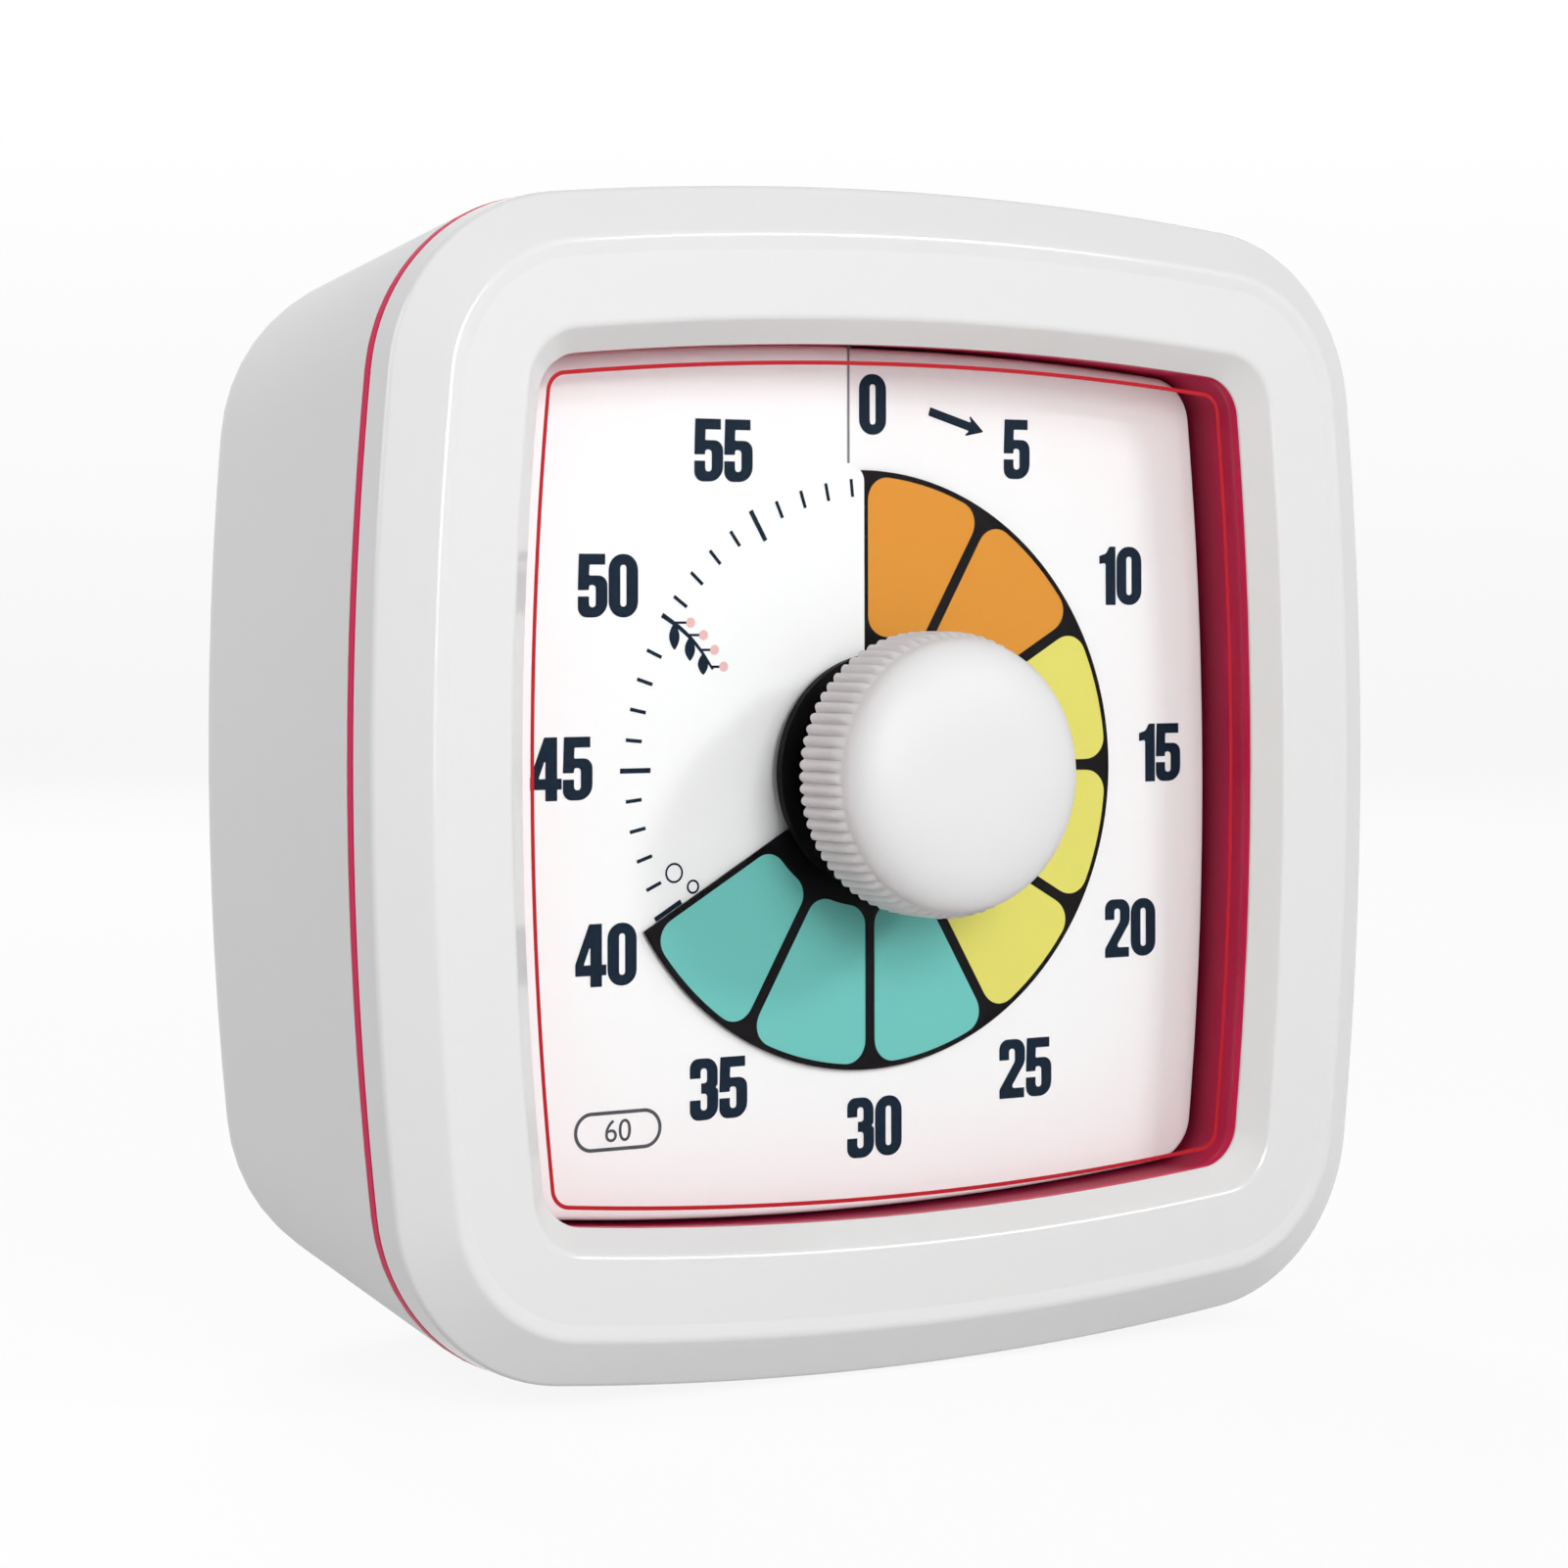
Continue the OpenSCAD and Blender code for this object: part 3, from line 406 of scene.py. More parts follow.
def clearFinish():
    # Clear moulded plastic that lets lamps through for shadows.
    mat = finish("clearLens", skinGroup, (250, 252, 252), bump=0.01, Cloud=0.0,
                 Rough_Low=0.02, Rough_High=0.05,
                 constants={"Transmission Weight": 1.0, "IOR": 1.08})
    tree = mat.node_tree
    shader = tree.nodes["Principled BSDF"]
    out = tree.nodes["Material Output"]
    path = tree.nodes.new("ShaderNodeLightPath")
    through = tree.nodes.new("ShaderNodeBsdfTransparent")
    blend = tree.nodes.new("ShaderNodeMixShader")
    either = maths(tree, "MAXIMUM", path.outputs["Is Shadow Ray"],
                   path.outputs["Is Diffuse Ray"])
    tree.links.new(either, blend.inputs["Fac"])
    tree.links.new(shader.outputs[0], blend.inputs[1])
    tree.links.new(through.outputs[0], blend.inputs[2])
    tree.links.new(blend.outputs[0], out.inputs["Surface"])
    return mat


clearLens = clearFinish()
print("finishes made")


# The bezel is one closed section carried round the puffed outline.
bezel = {
    "section": [(47.0, 6.24, 0), (48.98, 6.24, 0.15), (49.0, 2.75, 0.7), (44.9, -0.1, 0.9),
                (43.7, 0.16, 0.6), (38.25, 0.14, 0.8), (36.2, 2.35, 0.12), (36.2, 2.6, 0.05),
                (39.4, 2.6, 0), (39.9, 2.1, 0), (44.2, 2.1, 0), (47.0, 4.1, 0)],
    "cornersAt": [36.2, 38.2, 44.7, 49.0],
    "corners": [3.8, 5.0, 11.7, 16.0],
}


def bezelPiece():
    path = roundedPath(bezel["section"], steps=7, closed=True)
    corner = np.interp(path[:, 0], bezel["cornersAt"], bezel["corners"])
    rings = place(puffedRings(path[:, 0], corner, path[:, 1]))
    return makePiece("bezel", [grid(rings, around=True, along=True)], [frameWhite],
                     "housing", ["front_frame"])


bezelPiece()


# The crimson frame is the line at the seam and the tube inside the window. The seam line
# takes a lighter copy of the crimson, as painted light.
accent = {
    "section": [(36.2, 2.62, 0.08), (37.55, 2.62, 0), (37.55, 6.26, 0), (48.99, 6.26, 0.12),
                (48.99, 7.27, 0.12), (37.6, 7.27, 0), (37.6, 12.0, 0), (36.8, 12.0, 0),
                (36.8, 3.48, 0.1), (36.2, 3.48, 0.1)],
    "seamFrom": 44.0, "seamCorner": 33.0, "windowCorner": 32.4,
}


def accentPiece():
    # A corner's radius is the half size less the distance to the corner's centre.
    path = roundedPath(accent["section"], steps=4, closed=True)
    seam = path[:, 0] > accent["seamFrom"]
    centre = np.where(seam, accent["seamCorner"], accent["windowCorner"])
    rings = place(puffedRings(path[:, 0], path[:, 0] - centre, path[:, 1]))
    points, faces = grid(rings, around=True, along=True)
    row = np.arange(len(faces)) // rings.shape[1]
    return makePiece("accent", [(points, faces, seam[row].astype(int))],
                     [crimson, litSeamCrimson], "housing", ["accent_frame"])


accentPiece()


# The lens, with its red border line just in front of it.
lens = {"front": 3.5, "thick": 1.2, "half": 36.75, "corner": 4.35, "bore": 5.5,
        "ease": 0.12, "lineHalf": 34.75, "lineWide": 0.34, "lineCorner": 1.6,
        "lineLift": 0.02, "boreLike": (36.0, 5.0)}


def circleRing(radius, depth):
    # A circle about the dial's axis, with a point for each of a puffed outline's.
    half, corner = lens["boreLike"]
    like = puffedRings([half], [corner], [0.0])[0]
    a = np.arctan2(like[:, 0], like[:, 2] - dialLift)
    return np.stack([radius * np.sin(a), np.full_like(a, depth),
                     radius * np.cos(a) + dialLift], axis=-1)


def lensPiece():
    front, back = lens["front"], lens["front"] + lens["thick"]
    half, corner, bore, ease = lens["half"], lens["corner"], lens["bore"], lens["ease"]
    rim = puffedRings([half - ease, half, half, half - ease],
                      [corner - ease, corner, corner, corner - ease],
                      [front, front + ease, back - ease, back])
    rows = np.concatenate([[circleRing(bore, front + ease), circleRing(bore + ease, front)],
                           rim,
                           [circleRing(bore + ease, back), circleRing(bore, back - ease)]])
    makePiece("lensPane", [grid(place(rows), around=True, along=True)], [clearLens],
              "housing", ["lens"])
    wide = np.array([-1, 1]) * lens["lineWide"] / 2
    line = puffedRings(lens["lineHalf"] + wide, lens["lineCorner"] + wide,
                       [front - lens["lineLift"]] * 2)
    printPiece("lensLine", [grid(place(line), around=True)], redInk)


lensPiece()
print("bezel, accent and lens made")


# The dial plate is one turn of a helicoid with a step and a slit at 0 minutes.
plate = {
    "low": 10.1, "pitch": 1.8, "thick": 0.8, "half": 36.5, "corner": 4.1, "hole": 8.5,
    "rimRadius": 0.5, "skirt": 1.2, "skirtEnd": 13.4, "slit": 25.7, "stepAt": 2.0,
    "notchAt": 0.4, "notchRound": 1.3, "reach": 14.0, "edgeRound": 0.22, "rimSteps": 5,
    "noseSteps": 4,
}


def plateDepth(angle):
    # Deepest at 0 degrees, rising evenly clockwise to its highest at 360.
    return plate["low"] - plate["pitch"] * angle / 360


def clockAngle(x, z):
    return np.degrees(np.arctan2(x, z)) % 360


def stepEdge(r):
    # Offset of the high level's edge to the left of the middle: the step's
    # outside the slit, the notch's inside, joined by a round corner.
    s, n, c = plate["stepAt"], plate["notchAt"], plate["notchRound"]
    t = np.clip(r - (plate["slit"] - c), 0, c)
    curve = n + c - np.sqrt(np.maximum(c * c - t * t, 0))
    return np.where(r >= plate["slit"], s, np.minimum(curve, s))


def platePiece():
    count = 4 * (body["sideSteps"] + body["cornerSteps"])
    order = (np.arange(count + 1) + body["sideSteps"] // 2) % count
    rr, rimSteps = plate["rimRadius"], plate["rimSteps"]

    def rim(inset):
        ring = puffedRings([plate["half"] - inset], [plate["corner"] - inset], [0.0])[0]
        p = ring[order]
        return p[:, 0], p[:, 2] - dialLift

    x0, z0 = rim(rr)
    angle = np.degrees(np.arctan2(x0, z0)) % 360
    angle[0], angle[-1] = 0.0, 360.0
    top = plate["half"] - dialLift - rr
    arc = plate["slit"] - plate["notchRound"] * (1 - np.sin(np.linspace(0, 1, 7) * np.pi / 2))
    radii = np.concatenate([np.linspace(plate["hole"], arc[0], 12)[:-1], arc,
                            [plate["slit"] + 0.02], np.linspace(plate["slit"] + 0.5, top, 6)])
    share = (radii - plate["hole"]) / (top - plate["hole"])
    rad = np.radians(angle)
    cx, cz = plate["hole"] * np.sin(rad), plate["hole"] * np.cos(rad)
    xs = [cx + (x0 - cx) * s for s in share]
    zs = [cz + (z0 - cz) * s for s in share]
    ds = [np.zeros_like(cx) for s in share]
    for t in np.linspace(0, np.pi / 2, rimSteps + 1)[1:]:  # the rounded rim
        x, z = rim(rr - rr * math.sin(t))
        xs.append(x)
        zs.append(z)
        ds.append(np.full_like(x, rr * (1 - math.cos(t))))
    rowRadius = np.concatenate([radii, np.full(rimSteps, top + 1)])
    x, z, d = (np.stack(v, axis=1) for v in (xs, zs, ds))  # angle, row
    a = np.broadcast_to(angle[:, None], x.shape)
    depth = plateDepth(a) + d
    # the last sector leans left to the step's edge, the first one reaches under it
    edge = stepEdge(rowRadius)[None, :]
    reach = plate["reach"]
    isEnd = (a > 270) & (z > 0)
    isStart = (a < 90) & (z > 0)
    outside = rowRadius > plate["slit"] - 0.05
    lean = np.where(isEnd, edge * np.clip(1 + x / reach, 0, 1) ** 2, 0)
    under = np.where(isStart & outside,
                     plate["stepAt"] * np.clip(1 - x / reach, 0, 1) ** 2, 0)
    x = x - lean - under
    # the high level's edge overhangs a small round nose and a wall down to the low level
    er = plate["edgeRound"]
    nose = np.linspace(0, np.pi / 2, plate["noseSteps"] + 1)[1:]
    drop = np.where(outside, plate["pitch"], plate["thick"])
    x[-1] -= er
    lastX, lastZ, lastD = x[-1], z[-1], depth[-1]
    wallX = [lastX - er + er * math.sin(t) for t in nose] + [lastX]
    wallD = [lastD + er * (1 - math.cos(t)) for t in nose] + [lastD + drop]
    face = np.stack([np.concatenate([x, wallX]), np.concatenate([depth, wallD]),
                     np.concatenate([z, [lastZ] * len(wallX)]) + dialLift], axis=-1)
    back = np.stack([x, plateDepth(a) + plate["thick"], z + dialLift], axis=-1)
    back = back[:, :-rimSteps]
    # skirt: from the rim's foot back, then inside again
    outX, outZ = x[:, -1], z[:, -1]
    inX, inZ = rim(plate["skirt"])
    inX = inX - lean[:, -1] - under[:, -1]
    end = np.full_like(outX, plate["skirtEnd"])
    rows = [(outX, depth[:, -1], outZ), (outX, end, outZ), (inX, end, inZ),
            (inX, plateDepth(angle) + plate["thick"], inZ)]
    skirt = np.stack([np.stack([sx, sd, sz + dialLift], axis=-1) for sx, sd, sz in rows],
                     axis=1)
    hole = np.stack([face[:len(x), 0], back[:, 0]], axis=1)
    startEdge = np.stack([face[0, :-rimSteps], back[0]])
    parts = [grid(place(face)), grid(place(back), flip=True), grid(place(skirt)),
             grid(place(hole)), grid(place(startEdge))]
    return makePiece("dialPlate", parts, [dialWhite], "housing", ["dial_plate"], sharp=50)


platePiece()


inkLift = 0.03  # print stands this far in front of the plate


def onPlate(x, z, lift=inkLift):
    # Points about the dial's axis, laid just above the helicoid; the low level
    # reaches under the step, left of the middle.
    x, z = np.asarray(x, float), np.asarray(z, float)
    under = (x < 0) & (x > -plate["stepAt"]) & (z > plate["slit"])
    angle = np.where(under, 0.0, clockAngle(x, z))
    return place(np.stack([x, plateDepth(angle) - lift, z + dialLift], axis=-1))


digits = {  # outlines as (x, z, corner radius), in hundredths of a digit's height
    "tall": 5.15, "spread": 0.1,
    "0": ([(0, 0, 25), (53, 0, 25), (53, 100, 25), (0, 100, 25)],
          [(21, 17, 6), (32, 17, 6), (32, 83, 6), (21, 83, 6)]),
    "1": ([(13, 0, 1), (34, 0, 1), (34, 100, 1), (21, 100, 4), (14, 88, 8), (0, 84, 1),
           (0, 70, 1), (13, 72, 3)],),
    "2": ([(0, 0, 1), (51, 0, 1), (51, 17, 1), (23, 17, 4), (53, 60, 24), (53, 100, 25),
           (0, 100, 25), (0, 65, 1), (20, 65, 1), (20, 84, 6), (32, 84, 6), (32, 62, 14),
           (0, 16, 8)],),
    "3": ([(0, 33, 1), (0, 0, 25), (53, 0, 25), (53, 49, 12), (47, 52, 2), (52, 56, 12),
           (52, 100, 25), (0, 100, 25), (0, 68, 1), (20, 68, 1), (20, 84, 6), (32, 84, 6),
           (32, 60, 6), (21, 60, 1), (21, 43, 1), (32, 43, 6), (32, 16, 6), (20, 16, 6),
           (20, 33, 1)],),
    "4": ([(27, 0, 1), (48, 0, 1), (48, 18, 1), (56, 18, 1), (56, 35, 1), (48, 35, 1),
           (48, 100, 1), (25, 100, 1), (0, 37, 2), (0, 18, 1), (27, 18, 1)],
          [(27, 35, 1), (27, 66, 1), (15, 35, 1)]),
    "5": ([(0, 33, 1), (0, 0, 25), (53, 0, 25), (53, 66, 23), (20, 66, 2), (21, 83, 1),
           (49, 83, 1), (49, 100, 1), (2, 100, 1), (0, 43, 1), (20, 43, 2), (20, 51, 5),
           (32, 51, 6), (32, 16, 6), (20, 16, 6), (20, 33, 1)],),
}


def filledShape(contours):
    # A flat filled curve with holes, made a mesh: (points x 2, faces).
    curve = bpy.data.curves.new("flatShape", "CURVE")
    curve.dimensions = "2D"
    curve.fill_mode = "BOTH"
    for contour in contours:
        spline = curve.splines.new("POLY")
        spline.points.add(len(contour) - 1)
        flat = np.zeros((len(contour), 4))
        flat[:, :2] = contour
        flat[:, 3] = 1
        spline.points.foreach_set("co", flat.ravel())
        spline.use_cyclic_u = True
    return curveMesh(curve)


def curveMesh(curve):
    # The points and faces of a flat curve or text, which is then removed.
    holder = addObject("flatShape", curve)
    bpy.context.view_layer.update()
    mesh = holder.evaluated_get(bpy.context.evaluated_depsgraph_get()).to_mesh()
    co = np.zeros(len(mesh.vertices) * 3)
    mesh.vertices.foreach_get("co", co)
    faces = [tuple(p.vertices) for p in mesh.polygons]
    holder.to_mesh_clear()
    bpy.data.objects.remove(holder)
    bpy.data.curves.remove(curve)
    return co.reshape(-1, 3)[:, :2], faces


digitCache = {}


def digitShape(key):
    if key not in digitCache:
        contours = [roundedPath(c, closed=True) / 100 for c in digits[key]]
        points, faces = filledShape(contours)
        digitCache[key] = (points, faces, max(c[0] for c in digits[key][0]) / 100)
    return digitCache[key]


def writing(text, x, z, tall):
    # Digits side by side, centred on (x, z), as parts for printPiece.
    parts, pen, gap = [], 0.0, digits["spread"] / digits["tall"]
    for key in text:
        points, faces, wide = digitShape(key)
        parts.append((points + [pen, -0.5], faces))
        pen += wide + gap
    pen -= gap
    return [(onPlate(x + (points[:, 0] - pen / 2) * tall, z + points[:, 1] * tall), faces)
            for points, faces in parts]


numerals = {  # centres of 0, 5, 10 and so on, about the dial's axis
    "x": [1.37, 16.15, 27.22, 31.46, 28.12, 16.66, 0.87, -14.61, -25.29, -29.4, -25.11,
          -14.28],
    "z": [30.99, 27.48, 16.55, 0.86, -14.65, -26.4, -30.41, -26.08, -14.45, 0.8, 15.58,
          26.72],
}


def numeralPiece():
    parts = []
    for k, (x, z) in enumerate(zip(numerals["x"], numerals["z"])):
        parts += writing(str(5 * k), x, z, digits["tall"])
    return printPiece("numerals", parts, navyInk)


numeralPiece()

ticks = {"outer": 24.2, "minor": 1.5, "major": 2.85, "minorWide": 0.3, "majorWide": 0.42,
         "majorOut": 0.4, "middle": (0.6, 0.5), "skip": (0, 50)}


def tickPiece():
    # Each mark is a strip two points wide from its inner to its outer end.
    parts = []
    for minute in range(60):
        big = minute % 5 == 0
        if minute in ticks["skip"]:
            continue
        long = ticks["major"] if big else ticks["minor"]
        wide = ticks["majorWide"] if big else ticks["minorWide"]
        outer = ticks["outer"] + (ticks["majorOut"] if big else 0.0)
        r = np.linspace(outer - long, outer, 3)[:, None]
        w = np.array([-wide / 2, wide / 2])[None, :]
        a = math.radians(6 * minute)
        x = ticks["middle"][0] + r * math.sin(a) + w * math.cos(a)
        z = ticks["middle"][1] + r * math.cos(a) - w * math.sin(a)
        parts.append(grid(onPlate(x, z)))
    return printPiece("minuteMarks", parts, navyInk)


tickPiece()

# A painted shadow line along the step in the dial plate.
paintedStepShadow = {"wide": 0.34, "from": 25.9, "to": 35.9, "past": 0.02, "sink": (0.0, 0.03, 0.14)}


def paintedStepShadowPiece():
    # Painted shadow: a grey strip along the high level's edge, from the disc to the top of
    # the plate, standing in for the shadow line at the step.
    z = np.linspace(paintedStepShadow["from"], paintedStepShadow["to"], 12)[:, None]
    x = 0 * z - plate["stepAt"] - paintedStepShadow["wide"] * np.array([[1.0, 0.5, 0.0]])
    edge = plateDepth(np.full_like(x, 360.0)) - inkLift * 0.5 + np.array(paintedStepShadow["sink"])
    points = place(np.stack([x + paintedStepShadow["past"], edge, z + 0 * x + dialLift], axis=-1))
    return printPiece("stepEdge", [grid(points)], stepShadowPaint)


paintedStepShadowPiece()

marks = {
    "arrowFrom": (7.1, 30.55), "arrowTo": (12.7, 28.9), "arrowWide": 0.75, "headWide": 2.1,
    "headLong": 2.0, "neck": 0.72, "arrowRound": 0.08, "capsule": (-24.2, -28.9),
    "capsuleLong": 8.2, "capsuleTall": 3.3, "capsuleLine": 0.3, "capsuleText": 2.622,
}


def arrowPiece():
    a, b = np.array(marks["arrowFrom"]), np.array(marks["arrowTo"])
    d = (b - a) / np.linalg.norm(b - a)
    n = np.array([-d[1], d[0]])
    w, hw, hl = marks["arrowWide"] / 2, marks["headWide"] / 2, marks["headLong"]
    neck = b - d * hl * marks["neck"]
    outline = [a - n * w, neck - n * w, b - d * hl - n * hw, b, b - d * hl + n * hw,
               neck + n * w, a + n * w]
    outline = [(p[0], p[1], marks["arrowRound"]) for p in outline]
    points, faces = filledShape([roundedPath(outline, steps=2, closed=True)])
    return printPiece("arrow", [(onPlate(points[:, 0], points[:, 1]), faces)], navyInk)


arrowPiece()


def capsulePiece():
    # A stadium outline: straight runs joined by half circles, as a thin band.
    x0, z0 = marks["capsule"]
    r, run = marks["capsuleTall"] / 2, (marks["capsuleLong"] - marks["capsuleTall"]) / 2
    t = np.linspace(0, 2 * np.pi, 65)[:-1]
    side = np.where(np.sin(t) >= 0, 1, -1) * run
    band = np.stack([np.stack([side + k * np.sin(t), k * np.cos(t)], axis=-1)
                     for k in (r, r - marks["capsuleLine"])])
    ring = grid(onPlate(x0 + band[..., 0], z0 + band[..., 1]), around=True)
    text = bpy.data.curves.new("sixty", "FONT")
    text.body = "60"
    text.size = marks["capsuleText"]
    text.align_x, text.align_y = "CENTER", "CENTER"
    co, faces = curveMesh(text)
    mid = (co.min(axis=0) + co.max(axis=0)) / 2
    sixty = (onPlate(x0 + co[:, 0] - mid[0], z0 + co[:, 1] - mid[1]), faces)
    return printPiece("capsule", [ring, sixty], greyInk)


capsulePiece()

sprig = {
    "root": (-20.1, 13.2), "tip": (-15.3, 8.7), "bow": 0.45, "stemWide": 0.42,
    "leafLong": 2.1, "leafWide": 0.95, "leafTurn": 0.8, "leavesAt": [0.2, 0.48, 0.76],
    "berriesAt": [0.18, 0.44, 0.7, 0.96], "berryTurn": 0.75, "stalk": 1.55, "berry": 0.42,
    "stalkWide": 0.2, "rings": [(-18.9, -8.0, 0.85), (-17.1, -9.2, 0.6)], "ringLine": 0.18,
}


def stroke(points, widths):
    # A flat strip along a line of points, its half widths laid across.
    run = np.gradient(points, axis=0)
    run /= np.linalg.norm(run, axis=1)[:, None]
    side = np.stack([-run[:, 1], run[:, 0]], axis=1) * (np.asarray(widths) / 2)[:, None]
    strip = np.stack([points - side, points + side], axis=1)
    return grid(onPlate(strip[..., 0], strip[..., 1]))


def sprigPieces():
    # The stem is a line bowed by a sine. A leaf is a strip whose width is a sine
    # along its length. A berry is a disc on a short stalk.
    a, b = np.array(sprig["root"]), np.array(sprig["tip"])
    along = (b - a) / np.linalg.norm(b - a)
    across = np.array([-along[1], along[0]])
    t = np.linspace(0, 1, 17)

    def stemAt(s):
        s = np.asarray(s, float)[..., None]
        return a + (b - a) * s + across * sprig["bow"] * np.sin(np.pi * s)

    def aside(turn):
        return along * math.cos(turn) + across * math.sin(turn)

    navyParts = [stroke(stemAt(t), sprig["stemWide"] * (1 - 0.5 * t))]
    blushParts = []
    for at in sprig["leavesAt"]:
        long = sprig["leafLong"] * (1.1 - 0.35 * at)
        leaf = stemAt(at) + t[:, None] * long * aside(-sprig["leafTurn"])
        navyParts.append(stroke(leaf, sprig["leafWide"] * np.sin(np.pi * t) ** 0.8 + 0.02))
    phi = np.linspace(0, 2 * np.pi, 21)[:-1][None, :]
    rho = np.array([1.0, 0.55, 0.0])[:, None] * sprig["berry"]
    for at in sprig["berriesAt"]:
        end = stemAt(at) + sprig["stalk"] * (1.15 - 0.4 * at) * aside(sprig["berryTurn"])
        stalk = stemAt(at) + t[:, None] * (end - stemAt(at))
        navyParts.append(stroke(stalk, 0 * t + sprig["stalkWide"]))
        blushParts.append(grid(onPlate(end[0] + rho * np.sin(phi), end[1] + rho * np.cos(phi),
                                       inkLift + 0.01), around=True))
    for x, z, r in sprig["rings"]:
        rr = np.array([r, r - sprig["ringLine"]])[:, None]
        navyParts.append(grid(onPlate(x + rr * np.sin(phi), z + rr * np.cos(phi)),
                              around=True))
    printPiece("sprigLeaves", navyParts, navyInk)
    printPiece("sprigBerries", blushParts, blushInk)


sprigPieces()
print("dial plate and its print made")


# The coloured disc is a helicoid sheet with petals, set at 40 minutes.
disc = {
    "lead": 240.0, "frontLead": -0.65, "thick": 0.3, "inner": 6.8, "outer": 25.4,
    "bands": [12.0, 18.0], "ease": 0.06, "petalIn": 11.5, "petalOut": 24.92,
    "petalLift": 0.025, "spoke": 0.95, "roundOut": 2.1, "roundIn": 1.5,
    "collar": [(6.0, 0.0, 5.45), (7.2, 0.0, 7.2), (7.2, 2.4, 7.2), (6.0, 2.4, 5.45)],
    "order": ["coral", "coral", "coral", "orange", "orange", "orange", "yellow", "yellow",
              "yellow", "teal", "teal", "teal"],
}


def discDepth(angle):
    # Parallel to the plate, half a pitch nearer; the angle may run below 0.
    return plateDepth(angle) + disc["frontLead"]


def discPiece():
    turns = np.linspace(disc["lead"] - 360, disc["lead"], 181)
    rad = np.radians(turns)[:, None]
    ease, thick, inner, outer = disc["ease"], disc["thick"], disc["inner"], disc["outer"]
    radii = np.array([inner, inner, *disc["bands"], outer - ease, outer, outer, outer - ease,
                      *disc["bands"][::-1]])
    offset = np.array([thick, 0, 0, 0, 0, ease, thick - ease, thick, thick, thick])
    x, z = radii * np.sin(rad), radii * np.cos(rad)
    sheet = np.stack([x, discDepth(np.degrees(rad)) + offset + 0 * x, z + dialLift], axis=-1)
    end = tuple(range(len(radii)))
    parts = [grid(place(sheet), around=True), (place(sheet[0]), [end]),
             (place(sheet[-1]), [end[::-1]])]
    # The collar behind the sheet has two flats inside, which key it on the hub: its
    # circles are (radius, depth, half height at the flats).
    t = np.linspace(0, 2 * np.pi, 97)[:-1]
    front = discDepth(disc["lead"])
    collar = [np.stack([r * np.sin(t), np.full_like(t, front + d),
                        np.clip(r * np.cos(t), -flat, flat) + dialLift], axis=-1)
              for r, d, flat in disc["collar"]]
    parts.append(grid(place(np.stack(collar)), around=True, along=True))
    return makePiece("discSheet", parts, [blackInk], "coloured_disc", ["colour_disc"])


def petal(first, half):
    # A unit square with rounded corners, (p, q), bent into a sector of 2 x half
    # degrees: q picks the radius and p the angle between two spokes of even
    # width. Rings shrink to the middle, so the petal is a fan of quads.
    r0, r1, w = disc["petalIn"], disc["petalOut"], disc["spoke"] / 2
    deep = r1 - r0
    outP = disc["roundOut"] / (r1 * math.radians(half) - w)
    inP = min(0.95, disc["roundIn"] / (r0 * math.radians(half) - w))
    outQ, inQ = 2 * disc["roundOut"] / deep, 2 * disc["roundIn"] / deep
    t = np.linspace(0, np.pi / 2, 9)
    corners = [(1 - outP + outP * np.sin(t), 1 - outQ + outQ * np.cos(t)),
               (1 - inP + inP * np.cos(t), -1 + inQ - inQ * np.sin(t)),
               (-1 + inP - inP * np.sin(t), -1 + inQ - inQ * np.cos(t)),
               (-1 + outP - outP * np.cos(t), 1 - outQ + outQ * np.sin(t))]
    p, q = [], []
    for k, (cp, cq) in enumerate(corners):
        nextP, nextQ = corners[(k + 1) % 4]
        fill = np.linspace(0, 1, 8)[1:-1]
        p += [cp, cp[-1] + (nextP[0] - cp[-1]) * fill]
        q += [cq, cq[-1] + (nextQ[0] - cq[-1]) * fill]
    p, q = np.concatenate(p), np.concatenate(q)
    shrink = np.array([1.0, 0.75, 0.5, 0.25, 0.0])[:, None]
    p, q = p * shrink, q * shrink
    r = r0 + (q + 1) / 2 * deep
    turns = first + half + p * (half - np.degrees(np.arcsin(w / r)))
    x, z = r * np.sin(np.radians(turns)), r * np.cos(np.radians(turns))
    depth = discDepth(turns) - disc["petalLift"]
    return grid(place(np.stack([x, depth, z + dialLift], axis=-1)), around=True)


def petalPieces():
    inks = {"orange": orangeInk, "yellow": yellowInk, "teal": tealInk, "coral": coralInk}
    half = 180 / len(disc["order"])
    for colour in inks:
        parts = [petal(disc["lead"] - 360 + 2 * half * k, half)
                 for k, c in enumerate(disc["order"]) if c == colour]
        printPiece(colour + "Petals", parts, inks[colour], "coloured_disc")


discPiece()
petalPieces()
print("coloured disc made")


# The knob has ribs round its flank and a cushion front.
knob = {
    "radius": 11.8, "ribs": 72, "ribDeep": 0.5, "back": 0.9, "flank": 6.0, "dome": 3.6,
    "power": 3.2, "shell": 1.8, "bore": 4.6, "fadeOver": 0.9, "around": 720,
    "flankSteps": 12, "domeSteps": 44,
}


